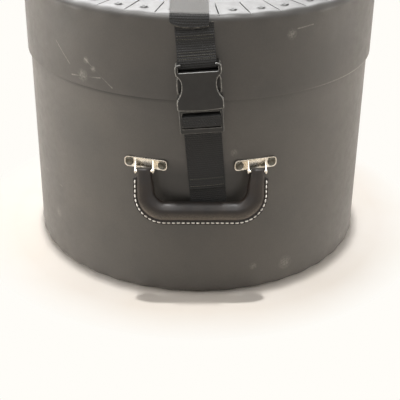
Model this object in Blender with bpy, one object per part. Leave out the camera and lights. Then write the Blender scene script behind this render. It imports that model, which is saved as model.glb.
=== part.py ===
"""A round drum case of vulcanised fibre: a deep base, a lid that telescopes over it, a web strap
with a side-release buckle, and a stitched carrying handle on two plates.

Metres, +Z up. The origin is on the case's axis, on the underside of the bottom disc. The handle and
the buckle are on the -Y side.
"""

import math

import bmesh
import bpy
from mathutils import Matrix, Vector

# Clearances
seat_gap = 0.0003
slip_gap = 0.0010
pin_play = 0.0003
overrun = 0.0040

# Edges that turn more than this are drawn sharp
smooth_angle = math.radians(32)

# Fibre shells
lid_outer_radius = 0.2000
fibre_thickness = 0.0022
case_height = 0.3170
lid_depth = 0.0870
fold_radius = 0.0060
fold_steps = 3
tab_count = 39
tab_reach = 0.0460
slit_width = 0.0016

# Rivets that hold the tabs to the discs
tab_rivet_inset = 0.0200
tab_rivet_radius = 0.0047
tab_rivet_height = 0.0012
tab_rivet_sides = 8
crown_share = 0.66

# Rivets through a wall
rivet_head_radius = 0.0045
rivet_head_height = 0.0011
rivet_shank_radius = 0.0018
rivet_burr_radius = 0.0032
rivet_burr_height = 0.0006
rivet_sides = 10

# Lapped wall seams, on the side away from the handle, counted in half tabs from the front
seam_column = 28
seam_column_count = 2
base_seam_rivet_count = 3
lid_seam_rivet_count = 2
seam_end_margin = 0.0180

# Web strap
web_width = 0.0380
web_thickness = 0.0015
web_cells = 4
miter_share = 0.5
strap_lean = math.radians(5.0)
buckle_x = -0.0010
top_strap_x = -0.0128
top_strap_end_share = 0.88
loop_leg_end_share = 0.62
top_strap_back_drop = 0.0150
loop_step = 0.0040
strap_end_margin = 0.0090
anchor_rivet_spacing = 0.0200
strap_rise_length = 0.0300

# Drops from the lid's edge to the buckle's mouth, the plates, the strap's anchors and its tail's end
mouth_drop = 0.0042
plate_drop = 0.0737
front_anchor_below_plates = 0.0498
back_anchor_drop = 0.0555
tail_end_drop = 0.0975

# Buckle, socket half
socket_half_width = 0.0235
socket_body_length = 0.0375
socket_slot_length = 0.0050
socket_bar_length = 0.0100
socket_thickness = 0.0120
socket_wall = 0.0026
socket_side_wall = 0.0040
socket_end_wall = 0.0055
socket_lip = 0.0015
socket_standoff = 0.0006
socket_bar_thickness = 0.0036
socket_waist_shares = ((0.0, 1.0), (0.22, 0.985), (0.34, 0.86), (0.44, 0.77), (0.54, 0.745), (0.64, 0.77),
                       (0.74, 0.86), (0.86, 0.97), (1.0, 0.985))
socket_mouth_shares = (0.55, 0.28, 0.0)
buckle_corner_share = 0.34

# Buckle, plug half
plug_half_width = 0.0220
plug_thickness = 0.0056
plug_shoulder_gap = 0.0012
plug_cross_length = 0.0026
plug_slot_length = 0.0050
plug_bar_length = 0.0110
plug_slit_length = 0.0030
plug_end_bar_length = 0.0052
tongue_half_width = 0.0070
tongue_tip_gap = 0.0080
tongue_tip_share = 0.66

# Buckle, latching prongs
prong_centre = 0.0167
prong_arm_width = 0.0040
prong_tip_gap = 0.0039
prong_thickness = 0.0052
prong_button_width = 0.0033
prong_tip_share = 0.6
prong_root_shares = ((0.20, 0.0), (0.50, 0.07))
prong_button_shares = ((0.0, 0.53), (0.72, 0.57), (1.0, 0.64), (1.0, 0.78), (0.20, 0.93))

# Handle plates
plate_length = 0.0475
plate_height = 0.0115
plate_thickness = 0.0016
plate_rivet_spacing = 0.0357
ear_centre_x = 0.0587
plate_inset = 0.0016
ear_spacing = 0.0182
ear_thickness = 0.0016
plate_end_steps = 6

# Handle pins
pin_radius = 0.0016
pin_head_radius = 0.0028
pin_head_length = 0.0010
pin_standoff = 0.0067
pin_drop = 0.0044
ear_eye_radius = 0.0045
pin_sides = 12

# Handle
handle_drop = 0.0436
handle_corner_radius = 0.0210
arm_width = 0.0158
grip_width = 0.0190
grip_thickness = 0.0130
arm_top_thickness = 0.0104
arm_top_rise = 0.0034
arm_taper_length = 0.0150
flange_reach = 0.0050
flange_thickness = 0.0030
flange_start = 0.0095
cover_leather = 0.0018
corner_steps = 6
core_end_margin = 0.0010

# Levels and radii that follow
fibre_inner = lid_outer_radius - fibre_thickness
base_outer_radius = fibre_inner - slip_gap
bottom_face = -seat_gap - fibre_thickness
top_face = bottom_face + case_height
lid_edge = top_face - lid_depth
lid_disc_low = top_face - fibre_thickness - seat_gap - fibre_thickness
base_rim = lid_disc_low - seat_gap
tab_pitch = 2 * math.pi / tab_count
mouth_height = lid_edge - mouth_drop
plate_centre_height = lid_edge - plate_drop
pin_height = plate_centre_height - pin_drop
front_anchor_height = plate_centre_height - front_anchor_below_plates
back_anchor_height = lid_edge - back_anchor_drop
tail_end_height = lid_edge - tail_end_drop
plate_azimuth = math.asin((ear_centre_x - plate_inset) / (base_outer_radius + seat_gap))

# Colours, linear, with roughness and metallic
fibre_black = ((0.060, 0.055, 0.048), 0.55, 0.0)
web_black = ((0.030, 0.030, 0.026), 0.85, 0.0)
moulded_black = ((0.035, 0.034, 0.031), 0.45, 0.0)
leather_black = ((0.030, 0.028, 0.027), 0.40, 0.0)
core_brown = ((0.170, 0.110, 0.065), 0.80, 0.0)
nickel = ((0.720, 0.690, 0.640), 0.28, 1.0)
rivet_dark = ((0.130, 0.110, 0.085), 0.45, 1.0)


def clear_scene():
    for obj in list(bpy.data.objects):
        bpy.data.objects.remove(obj, do_unlink=True)


def finish_material(name, look):
    colour, roughness, metallic = look
    material = bpy.data.materials.get(name) or bpy.data.materials.new(name)
    material.use_nodes = True
    shader = material.node_tree.nodes["Principled BSDF"]
    shader.inputs["Base Color"].default_value = (*colour, 1)
    shader.inputs["Roughness"].default_value = roughness
    shader.inputs["Metallic"].default_value = metallic
    return material


def add_object(name, bm, look):
    """An object made from the bmesh, its faces turned outwards."""
    bmesh.ops.recalc_face_normals(bm, faces=bm.faces)
    mesh = bpy.data.meshes.new(name)
    bm.to_mesh(mesh)
    bm.free()
    mesh.shade_smooth()
    mesh.set_sharp_from_angle(angle=smooth_angle)
    obj = bpy.data.objects.new(name, mesh)
    bpy.context.scene.collection.objects.link(obj)
    obj.data.materials.append(finish_material(name, look))
    return obj


def add_helper(name, bm):
    """A shape that only cuts or joins others."""
    obj = add_object(name, bm, moulded_black)
    obj.hide_render = True
    obj.display_type = "WIRE"
    return obj


def combine(obj, other, operation):
    modifier = obj.modifiers.new(operation.lower() + "_" + other.name, "BOOLEAN")
    modifier.operation = operation
    modifier.solver = "EXACT"
    modifier.object = other


def add_pivot(name, place):
    pivot = bpy.data.objects.new(name, None)
    pivot.location = place
    bpy.context.scene.collection.objects.link(pivot)
    return pivot


def hang(obj, pivot):
    """Parents the object to the pivot and puts its origin there, with its shape where it was."""
    obj.data.transform(Matrix.Translation(-pivot.location))
    obj.parent = pivot


def around(radius, azimuth, z):
    """A point at an azimuth that counts from the front, -Y, towards +X."""
    return Vector((radius * math.sin(azimuth), -radius * math.cos(azimuth), z))


def outward(azimuth):
    return Vector((math.sin(azimuth), -math.cos(azimuth), 0))


def bridge(bm, one, two, closed=True):
    count = len(one) if closed else len(one) - 1
    for i in range(count):
        j = (i + 1) % len(one)
        bm.faces.new((one[i], one[j], two[j], two[i]))


def loft(rings):
    """A solid through rings of points, each with the same number, with its two ends filled."""
    bm = bmesh.new()
    loops = [[bm.verts.new(point) for point in ring] for ring in rings]
    for one, two in zip(loops, loops[1:]):
        bridge(bm, one, two)
    bm.faces.new(loops[0])
    bm.faces.new(loops[-1][::-1])
    return bm


def turn(profile, base, axis, sides):
    """A solid turned about an axis. Each profile point is (distance along the axis, radius)."""
    axis = axis.normalized()
    side = axis.orthogonal().normalized()
    other = axis.cross(side)
    rings = []
    for along, radius in profile:
        ring = []
        for i in range(sides):
            angle = 2 * math.pi * i / sides
            arm = side * math.cos(angle) + other * math.sin(angle)
            ring.append(base + axis * along + arm * radius)
        rings.append(ring)
    return loft(rings)


def prism(outline, low, high, place):
    """An outline of (u, v) points, pulled from one w to another and set in the world by place."""
    return loft([[place(u, v, w) for u, v in outline] for w in (low, high)])


def box_outline(u_low, u_high, v_low, v_high):
    return [(u_low, v_low), (u_high, v_low), (u_high, v_high), (u_low, v_high)]


def join_into(bm, other):
    """Adds a second bmesh's shapes to the first, as separate bodies of one helper."""
    mesh = bpy.data.meshes.new("joined")
    other.to_mesh(mesh)
    other.free()
    bm.from_mesh(mesh)
    bpy.data.meshes.remove(mesh)


def holes_cutter(name, places, radius, reach):
    """One helper with a round bar through each place, along that place's direction."""
    bm = bmesh.new()
    for point, direction in places:
        join_into(bm, turn([(-reach, radius), (reach, radius)], point, direction, rivet_sides))
    return add_helper(name, bm)


# Fibre shells and discs


def tabbed_shell(name, radius, edge_z, face_z):
    """A sheet wall from its plain edge to a folded end, which is cut into riveted tabs."""
    inward = 1 if face_z > edge_z else -1
    bm = bmesh.new()

    def ring(r, z):
        return [bm.verts.new(around(r, i * tab_pitch / 2, z)) for i in range(2 * tab_count)]

    def profile(depth):
        bend = fold_radius - depth
        centre_r = radius - fold_radius
        centre_z = face_z - inward * fold_radius
        points = [(radius - depth, edge_z)]
        for i in range(fold_steps + 1):
            angle = math.pi / 2 * i / fold_steps
            points.append((centre_r + bend * math.cos(angle), centre_z + inward * bend * math.sin(angle)))
        return [ring(r, z) for r, z in points]

    skins = [profile(0), profile(fibre_thickness)]
    for skin in skins:
        for one, two in zip(skin, skin[1:]):
            bridge(bm, one, two)
    bridge(bm, skins[0][0], skins[1][0])

    outer, inner = skins[0][-1], skins[1][-1]
    end_radius = radius - tab_reach
    end_half = tab_pitch / 2 - slit_width / 2 / end_radius
    face_in = face_z - inward * fibre_thickness
    for k in range(tab_count):
        middle = 2 * k
        left = (middle - 1) % (2 * tab_count)
        right = middle + 1
        azimuth = k * tab_pitch
        ends = [bm.verts.new(around(end_radius, azimuth + s * end_half, face_z)) for s in (-1, 0, 1)]
        backs = [bm.verts.new(around(end_radius, azimuth + s * end_half, face_in)) for s in (-1, 0, 1)]
        foot, crown = rivet_rings(bm, radius, azimuth, face_z, inward)
        half = tab_rivet_sides // 2
        bm.faces.new([outer[left], outer[middle], *foot[: half + 1], ends[1], ends[0]])
        bm.faces.new([outer[middle], outer[right], ends[2], ends[1], *foot[half:], foot[0]])
        bridge(bm, foot, crown)
        bm.faces.new(crown)
        bm.faces.new([inner[left], inner[middle], backs[1], backs[0]])
        bm.faces.new([inner[middle], inner[right], backs[2], backs[1]])
        bridge(bm, ends, backs, closed=False)
        bm.faces.new([outer[left], ends[0], backs[0], inner[left]])
        bm.faces.new([outer[right], ends[2], backs[2], inner[right]])
    return add_object(name, bm, fibre_black)


def rivet_rings(bm, radius, azimuth, face_z, inward):
    """The foot and the crown of a domed rivet head on a tab, from its outermost point round."""
    centre = around(radius - tab_rivet_inset, azimuth, face_z)
    out = outward(azimuth)
    side = Vector((-math.cos(azimuth), -math.sin(azimuth), 0))
    rings = []
    for share, rise in ((1, 0), (crown_share, tab_rivet_height)):
        ring = []
        for i in range(tab_rivet_sides):
            angle = 2 * math.pi * i / tab_rivet_sides
            arm = (out * math.cos(angle) + side * math.sin(angle)) * tab_rivet_radius * share
            ring.append(bm.verts.new(centre + arm + Vector((0, 0, inward * rise))))
        rings.append(ring)
    return rings


def disc(name, shell_radius, face_z, inward):
    """An end disc that fills the fold. Its face is pressed in a little where the tabs lie on it."""
    radius = shell_radius - fold_radius
    open_radius = shell_radius - tab_reach - seat_gap
    profile = [(0, open_radius - seat_gap), (seat_gap, open_radius), (seat_gap, radius), (fibre_thickness, radius)]
    solid = turn(profile, Vector((0, 0, face_z)), Vector((0, 0, inward)), 2 * tab_count)
    return add_object(name, solid, fibre_black)


# Rivets through a wall


def rivet(name, surface, direction, grip, burr_height=rivet_burr_height, look=rivet_dark):
    """A rivet whose head sits on the surface point, with its shank through grip and a burr behind."""
    profile = [
        (-grip - seat_gap - burr_height, rivet_burr_radius),
        (-grip - seat_gap, rivet_burr_radius),
        (-grip - seat_gap, rivet_shank_radius),
        (seat_gap, rivet_shank_radius),
        (seat_gap, rivet_head_radius),
        (seat_gap + rivet_head_height, rivet_head_radius * crown_share),
    ]
    return add_object(name, turn(profile, surface, direction, rivet_sides), look)


def wall_grip(point, direction, outer_radius):
    """How far the wall's inner side is from a point outside it, where a burr would meet it."""
    lateral = abs(point.x * direction.y - point.y * direction.x) + rivet_burr_radius
    inner = (outer_radius - fibre_thickness) * math.cos(tab_pitch / 4)
    return point.dot(direction) - math.sqrt(inner**2 - lateral**2)


def seam_lap(name, low_radius, high_radius, low, high):
    """The second thickness of sheet where the wall's two ends lap."""
    arc = [(seam_column + i) * tab_pitch / 2 for i in range(seam_column_count + 1)]
    rings = []
    for z in (low, high):
        rings.append([around(low_radius, a, z) for a in arc] + [around(high_radius, a, z) for a in arc[::-1]])
    return add_helper(name, loft(rings))


def seam_places(outer_radius, low, high, count):
    """Points down the middle of a seam, each with the way out of the wall."""
    azimuth = (seam_column + seam_column_count / 2) * tab_pitch / 2
    step = (high - low) / max(count - 1, 1)
    return [(around(outer_radius, azimuth, low + i * step), outward(azimuth)) for i in range(count)]


# Web strap and buckle, in a frame that leans with them: u to the right, v up, w out of the lid's wall


def buckle_place(u, v, w):
    """Flat, for the moulded pieces."""
    x = buckle_x + u * math.cos(strap_lean) - v * math.sin(strap_lean)
    z = mouth_height + u * math.sin(strap_lean) + v * math.cos(strap_lean)
    return Vector((x, -lid_outer_radius - w, z))


def wrap_place(u, v, w):
    """For webbing: bent across its width where it lies on the case, and flat where it goes over a bar."""
    place = buckle_place(u, v, w)
    bent = min(1, max(0, (socket_bar_high - w) / (socket_bar_high - socket_bar_low)))
    place.y += bent * (lid_outer_radius - math.sqrt(lid_outer_radius**2 - place.x**2))
    return place


def lean_v(z):
    """The v of a height on the buckle's centre line."""
    return (z - mouth_height) / math.cos(strap_lean)


def band(path, place):
    """Webbing along a centre line of (v, w) points."""
    rings = []
    for i, (v, w) in enumerate(path):
        before = Vector(path[max(i - 1, 0)])
        after = Vector(path[min(i + 1, len(path) - 1)])
        here = Vector((v, w))
        ins = (here - before).normalized() if i else (after - here).normalized()
        outs = (after - here).normalized() if i < len(path) - 1 else ins
        along = (ins + outs).normalized()
        normal = Vector((-along.y, along.x))
        reach = web_thickness / 2 / max(normal.dot(Vector((-outs.y, outs.x))), miter_share)
        faces = []
        for side in (1, -1):
            at = here + normal * reach * side
            row = [place(web_width * (k / web_cells - 0.5), at.x, at.y) for k in range(web_cells + 1)]
            faces += row[::side]
        rings.append(faces)
    return loft(rings)


def turn_round(centre_v, centre_w, radius, start, end, steps=6):
    """Points on an arc in the v, w plane, by angle from +v towards +w."""
    points = []
    for i in range(steps + 1):
        angle = start + (end - start) * i / steps
        points.append((centre_v + radius * math.cos(angle), centre_w + radius * math.sin(angle)))
    return points


web_half = web_thickness / 2
on_lid = seat_gap + web_half
on_base = base_outer_radius - lid_outer_radius + seat_gap + web_half
socket_back = socket_standoff
socket_front = socket_standoff + socket_thickness
socket_end = socket_body_length + socket_slot_length + socket_bar_length
socket_bar_low = on_lid + web_half + seat_gap + web_thickness / 2
socket_bar_high = socket_bar_low + socket_bar_thickness
socket_end_height = mouth_height + socket_end * math.cos(strap_lean)
top_fold_height = top_face - fold_radius
top_strap_end = socket_end_height + top_strap_end_share * (top_fold_height - socket_end_height)
loop_leg_end = socket_end_height + loop_leg_end_share * (top_fold_height - socket_end_height)
plug_low = socket_back + socket_wall + 2 * seat_gap
plug_high = plug_low + plug_thickness
plug_cross_end = -plug_shoulder_gap - plug_cross_length
plug_bar_start = plug_cross_end - plug_slot_length
plug_bar_end = plug_bar_start - plug_bar_length
plug_end_bar_start = plug_bar_end - plug_slit_length
plug_end = plug_end_bar_start - plug_end_bar_length
prong_base = -plug_shoulder_gap + seat_gap
prong_length = socket_body_length - socket_end_wall - prong_tip_gap - prong_base
tongue_length = socket_body_length - socket_end_wall - tongue_tip_gap


def top_strap_place(x_offset, y, z):
    return Vector((top_strap_x + x_offset, y, z))


def make_top_strap():
    """Webbing from the outside of the loop's end over the top, above the rivet heads, to the back wall."""
    wall_y = lid_outer_radius + seat_gap + web_half
    front_y = wall_y + web_thickness + seat_gap
    flat_z = top_face + tab_rivet_height + seat_gap + web_half
    turn_y = wall_y - fold_radius
    turn_z = flat_z - fold_radius
    path = [(-front_y, top_strap_end)]
    path += turn_round(fold_radius - front_y, turn_z, fold_radius, math.pi, math.pi / 2, fold_steps)
    path += turn_round(turn_y, turn_z, fold_radius, math.pi / 2, 0, fold_steps)
    path.append((wall_y, top_face - fold_radius - top_strap_back_drop))

    def place(u, y, z):
        x = top_strap_x + u
        inset = wall_y - math.sqrt(wall_y**2 - x**2)
        share = min(1, max(0, abs(y) / wall_y))
        return Vector((x, y - math.copysign(inset * share**3, y), z))

    return add_object("strap_top", band(path, place), web_black)


def make_back_strap():
    """The strap's back leg, from where the top strap ends down the lid and in to its rivets on the base."""
    wall_y = lid_outer_radius + seat_gap + web_half
    base_y = base_outer_radius + seat_gap + web_half
    step = lid_outer_radius - base_outer_radius
    start_z = top_face - fold_radius - top_strap_back_drop - seat_gap
    low_z = back_anchor_height - strap_end_margin
    path = [(wall_y, start_z), (wall_y, lid_edge), (base_y, lid_edge - 2 * step), (base_y, low_z)]

    def place(u, y, z):
        x = top_strap_x + u
        return Vector((x, y - wall_y + math.sqrt(wall_y**2 - x**2), z))

    return add_object("strap_back", band(path, place), web_black)


def make_buckle_loop():
    """Webbing folded round the socket's bar, with its long front leg sewn under the end of the top strap."""
    high_w = socket_bar_high + seat_gap + web_half
    low_w = socket_bar_low - seat_gap - web_half
    centre_w = (high_w + low_w) / 2
    radius = (high_w - low_w) / 2
    turn_v = socket_body_length + socket_slot_length
    lap_w = on_lid + web_thickness + seat_gap
    leg_end = lean_v(loop_leg_end)
    step_start = leg_end + 2 * web_half
    path = [(lean_v(top_fold_height), on_lid), (step_start + loop_step, on_lid), (step_start, lap_w),
            (leg_end - 2 * loop_step, lap_w), (socket_end + seat_gap, high_w)]
    path += turn_round(turn_v + web_half, centre_w, radius, math.pi / 2, 3 * math.pi / 2)
    path += [(socket_end, low_w), (leg_end, on_lid)]
    return add_object("buckle_loop", band(path, wrap_place), web_black)


def make_lower_strap():
    """Webbing from its rivets on the base up through the plug's ladder and back down as a free tail."""
    tail_w = plug_low - seat_gap - web_half
    layer = web_thickness + seat_gap
    back_w = tail_w - layer
    front_w = plug_high + seat_gap + web_half
    slot_v = plug_bar_start + seat_gap + web_half
    slit_v = plug_bar_end - seat_gap - web_half
    cut = web_half
    path = [
        (lean_v(front_anchor_height - strap_end_margin), on_base),
        (plug_end - strap_rise_length, on_base),
        (plug_end - layer, back_w),
        (slot_v - cut, back_w),
        (slot_v, back_w + cut),
        (slot_v, front_w - cut),
        (slot_v - cut, front_w),
        (slit_v + cut, front_w),
        (slit_v, front_w - cut),
        (slit_v, tail_w + cut),
        (slit_v - cut, tail_w),
        (plug_end - layer, tail_w),
        (plug_end - strap_rise_length, on_base + layer),
        (lean_v(tail_end_height), on_base + layer),
    ]
    return add_object("lower_strap", band(path, wrap_place), web_black)


def socket_outline():
    length, half = socket_body_length, socket_half_width
    side = [(share_w * half, share_v * length) for share_v, share_w in socket_waist_shares]
    end_half = half * socket_waist_shares[-1][1]
    corner = socket_bar_length * buckle_corner_share
    side += [(end_half, socket_end - corner), (end_half - corner, socket_end)]
    mouth = [(half * share, -socket_lip * (1 - share**2)) for share in socket_mouth_shares]
    right = mouth[::-1] + side
    left = [(-u, v) for u, v in right[::-1] if u > 0]
    return right + left


def make_socket():
    body = prism(socket_outline(), socket_back, socket_front, buckle_place)
    socket = add_object("buckle_socket", body, moulded_black)
    inner_half = socket_half_width - socket_side_wall
    inside = box_outline(-inner_half, inner_half, -socket_lip - overrun, socket_body_length - socket_end_wall)
    cavity = prism(inside, socket_back + socket_wall, socket_front - socket_wall, buckle_place)
    combine(socket, add_helper("socket_cavity", cavity), "DIFFERENCE")

    slot_half = web_width / 2 + 2 * seat_gap
    bar_start = socket_body_length + socket_slot_length
    past_end = socket_end + overrun
    below = socket_back - overrun
    above = socket_front + overrun
    round_bar = [(socket_body_length, below), (past_end, below), (past_end, socket_bar_low),
                 (bar_start, socket_bar_low), (bar_start, socket_bar_high), (past_end, socket_bar_high),
                 (past_end, above), (socket_body_length, above)]
    slot = loft([[buckle_place(u, v, w) for v, w in round_bar] for u in (-slot_half, slot_half)])
    combine(socket, add_helper("socket_slot", slot), "DIFFERENCE")
    return socket


def make_plug():
    half = plug_half_width
    corner = plug_end_bar_length * buckle_corner_share
    right = [(half - corner, plug_end), (half, plug_end + corner), (half, -plug_shoulder_gap),
             (tongue_half_width, -plug_shoulder_gap), (tongue_half_width * tongue_tip_share, tongue_length)]
    left = [(-u, v) for u, v in right[::-1]]
    plug = add_object("buckle_plug", prism(right + left, plug_low, plug_high, buckle_place), moulded_black)
    slot_half = web_width / 2 + 2 * seat_gap
    cuts = (("slot", plug_bar_start, plug_cross_end), ("slit", plug_end_bar_start, plug_bar_end))
    for name, low, high in cuts:
        outline = box_outline(-slot_half, slot_half, low, high)
        cutter = prism(outline, plug_low - overrun, plug_high + overrun, buckle_place)
        combine(plug, add_helper("plug_" + name, cutter), "DIFFERENCE")
    return plug


def make_prong(side):
    """A springy arm with a thumb button that fills the socket's side window."""
    half = prong_arm_width / 2
    edge = prong_centre + half
    (root_share, _), (_, root_up) = prong_root_shares
    outer = [(prong_centre + half * share, up) for share, up in prong_root_shares]
    outer += [(edge + prong_button_width * share, up) for share, up in prong_button_shares]
    inner = [(prong_centre - half * prong_tip_share, 1), (prong_centre - half, prong_button_shares[2][1]),
             (prong_centre - half, root_up), (prong_centre - half * root_share, 0)]
    outline = [(side * u, prong_base + prong_length * up) for u, up in outer + inner]
    low = plug_low + (plug_thickness - prong_thickness) / 2
    name = "buckle_prong_right" if side > 0 else "buckle_prong_left"
    prong = add_object(name, prism(outline, low, low + prong_thickness, buckle_place), moulded_black)
    pivot_at = buckle_place(side * prong_centre, prong_base, low + prong_thickness / 2)
    hang(prong, add_pivot(name + "_pivot", pivot_at))
    return prong


# Handle plates, pins and handle


def plate_place(side):
    """The frame of a plate that lies against the base: u along it, v up, w out of the wall."""
    azimuth = side * plate_azimuth
    along = Vector((math.cos(azimuth), math.sin(azimuth), 0))
    out = outward(azimuth)
    foot = out * (base_outer_radius + seat_gap) + Vector((0, 0, plate_centre_height))
    return lambda u, v, w: foot + along * u + Vector((0, 0, v)) + out * w


def stadium(length, height, steps):
    radius = height / 2
    points = []
    for end in (1, -1):
        for i in range(steps + 1):
            angle = math.pi * i / steps - math.pi / 2
            along = length / 2 - radius + radius * math.cos(angle)
            points.append((end * along, end * radius * math.sin(angle)))
    return points


pin_y = -(math.cos(plate_azimuth) * (base_outer_radius + seat_gap + plate_thickness)
          - math.sin(plate_azimuth) * (ear_centre_x - ear_spacing / 2
                                       - math.sin(plate_azimuth) * base_outer_radius)) - pin_standoff
ear_inner_x = ear_centre_x - ear_spacing / 2
ear_outer_x = ear_centre_x + ear_spacing / 2
ear_eye_start = math.radians(60)


def make_plate(side):
    name = "handle_plate_right" if side > 0 else "handle_plate_left"
    place = plate_place(side)
    outline = stadium(plate_length, plate_height, plate_end_steps)
    plate = add_object(name, prism(outline, 0, plate_thickness, place), nickel)
    bm = bmesh.new()
    radius = plate_height / 2
    for x in (ear_inner_x, ear_outer_x):
        root_y = pin_y + pin_standoff + plate_thickness / 2
        if x == ear_outer_x:
            root_y += math.tan(plate_azimuth) * ear_spacing
        outline = [(root_y, radius)]
        for i in range(plate_end_steps + 1):
            angle = ear_eye_start - (ear_eye_start + math.pi / 2) * i / plate_end_steps
            outline.append((pin_y - ear_eye_radius * math.cos(angle),
                            ear_eye_radius * math.sin(angle) - pin_drop))
        outline.append((root_y, -radius))
        ends = [side * (x - ear_thickness / 2), side * (x + ear_thickness / 2)]
        ear = loft([[Vector((end, y, plate_centre_height + z)) for y, z in outline] for end in ends])
        bmesh.ops.recalc_face_normals(ear, faces=ear.faces)
        join_into(bm, ear)
    combine(plate, add_helper(name + "_ears", bm), "UNION")
    holes = holes_cutter(name + "_holes", plate_rivet_places(side), rivet_shank_radius + seat_gap,
                         plate_thickness + overrun / 2)
    combine(plate, holes, "DIFFERENCE")
    axle = turn([(-ear_spacing, pin_radius + pin_play), (ear_spacing, pin_radius + pin_play)],
                Vector((side * ear_centre_x, pin_y, pin_height)), Vector((1, 0, 0)), pin_sides)
    combine(plate, add_helper(name + "_pin_hole", axle), "DIFFERENCE")
    return plate


def plate_rivet_places(side):
    place = plate_place(side)
    return [(place(u, 0, plate_thickness), outward(side * plate_azimuth))
            for u in (-plate_rivet_spacing / 2, plate_rivet_spacing / 2)]


def make_pin(side):
    reach = ear_spacing / 2 + ear_thickness / 2 + pin_play
    profile = [(-reach - pin_head_length, pin_head_radius), (-reach, pin_head_radius), (-reach, pin_radius),
               (reach, pin_radius), (reach, pin_head_radius), (reach + pin_head_length, pin_head_radius)]
    name = "handle_pin_right" if side > 0 else "handle_pin_left"
    centre = Vector((side * ear_centre_x, pin_y, pin_height))
    return add_object(name, turn(profile, centre, Vector((1, 0, 0)), pin_sides), nickel)


rest_y = -(base_outer_radius + 2 * (seat_gap + web_thickness) + seat_gap + grip_thickness / 2)
handle_lean = math.asin((pin_y - rest_y) / handle_drop)


def handle_place(x, drop, out):
    """The handle's plane hangs from the pins and leans out until the grip rests on the doubled strap."""
    y = pin_y - drop * math.sin(handle_lean) - out * math.cos(handle_lean)
    z = pin_height - drop * math.cos(handle_lean) + out * math.sin(handle_lean)
    return Vector((x, y, z))


def handle_stations():
    """(centre x, centre drop, outward direction) from the left arm's top, round the grip, to the right's."""
    bend = handle_corner_radius
    corner_drop = handle_drop - bend
    corner_x = ear_centre_x - bend
    half = [(-ear_centre_x, drop, (-1, 0)) for drop in
            (-arm_top_rise, 0, flange_start, flange_start + flange_reach, corner_drop)]
    for i in range(1, corner_steps + 1):
        angle = math.pi / 2 * i / corner_steps
        half.append((-corner_x - bend * math.cos(angle), corner_drop + bend * math.sin(angle),
                     (-math.cos(angle), math.sin(angle))))
    other = [(-x, drop, (-out_x, out_drop)) for x, drop, (out_x, out_drop) in half[::-1]]
    return half + other


def handle_size(drop, direction):
    """Half width, half thickness and flange reach of the section at a station."""
    turned = abs(direction[1])
    half_width = (arm_width + (grip_width - arm_width) * turned) / 2
    grown = min(1, max(0, drop / arm_taper_length))
    half_thick = (arm_top_thickness + (grip_thickness - arm_top_thickness) * grown) / 2
    flange = flange_reach if drop > flange_start else seat_gap
    return half_width, half_thick, flange


section_angles = [math.radians(a) for a in (30, 60, 90, 120, 150, 180, 210, 240, 270, 300, 330)]


def cover_ring(x, drop, direction):
    """One leather section: a padded round body with a flat stitched flange on its outer side."""
    half_width, half_thick, flange = handle_size(drop, direction)
    lip = flange_thickness / 2
    tip = half_width + flange
    points = [(half_width * math.cos(a), half_thick * math.sin(a)) for a in section_angles]
    points = [(half_width, lip), *points, (half_width, -lip), (tip, -lip), (tip, lip)]
    ring = []
    for along, out in points:
        ring.append(handle_place(x + direction[0] * along, drop + direction[1] * along, out))
    return ring


def core_ring(x, drop, direction, inset):
    half_width, half_thick, _ = handle_size(drop, direction)
    ring = []
    for i in range(rivet_sides):
        angle = 2 * math.pi * i / rivet_sides
        along = (half_width - inset) * math.cos(angle)
        out = (half_thick - inset) * math.sin(angle)
        ring.append(handle_place(x + direction[0] * along, drop + direction[1] * along, out))
    return ring


def extended(stations, reach):
    """The stations with the two arm tops moved up by reach."""
    ends = [(x, drop - reach, direction) for x, drop, direction in (stations[0], stations[-1])]
    return [ends[0], *stations[1:-1], ends[1]]


def make_handle(pivot):
    stations = handle_stations()
    cover = add_object("handle_cover", loft([cover_ring(*s) for s in stations]), leather_black)
    hollow = loft([core_ring(*s, cover_leather) for s in extended(stations, overrun)])
    core_stations = extended(stations, -core_end_margin)
    filling = loft([core_ring(*s, cover_leather + seat_gap) for s in core_stations])
    core = add_object("handle_core", filling, core_brown)
    combine(cover, add_helper("handle_hollow", hollow), "DIFFERENCE")
    reach = ear_centre_x + ear_spacing
    bore = turn([(-reach, pin_radius + 2 * pin_play), (reach, pin_radius + 2 * pin_play)],
                Vector((0, pin_y, pin_height)), Vector((1, 0, 0)), pin_sides)
    bore_helper = add_helper("handle_pin_bore", bore)
    for piece in (cover, core):
        combine(piece, bore_helper, "DIFFERENCE")
        hang(piece, pivot)


def strap_rivet_places(height, place):
    """Two places side by side on a strap's outer face, each with the way out of the wall."""
    found = []
    for side in (-1, 1):
        point = place(side * anchor_rivet_spacing / 2, height)
        found.append((point, Vector((point.x, point.y, 0)).normalized()))
    return found


def front_anchor_place(u, height):
    return wrap_place(u, lean_v(height), on_base + web_half)


def back_anchor_place(u, height):
    radius = base_outer_radius + seat_gap + web_thickness
    x = top_strap_x + u
    return Vector((x, math.sqrt(radius**2 - x**2), height))


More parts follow.
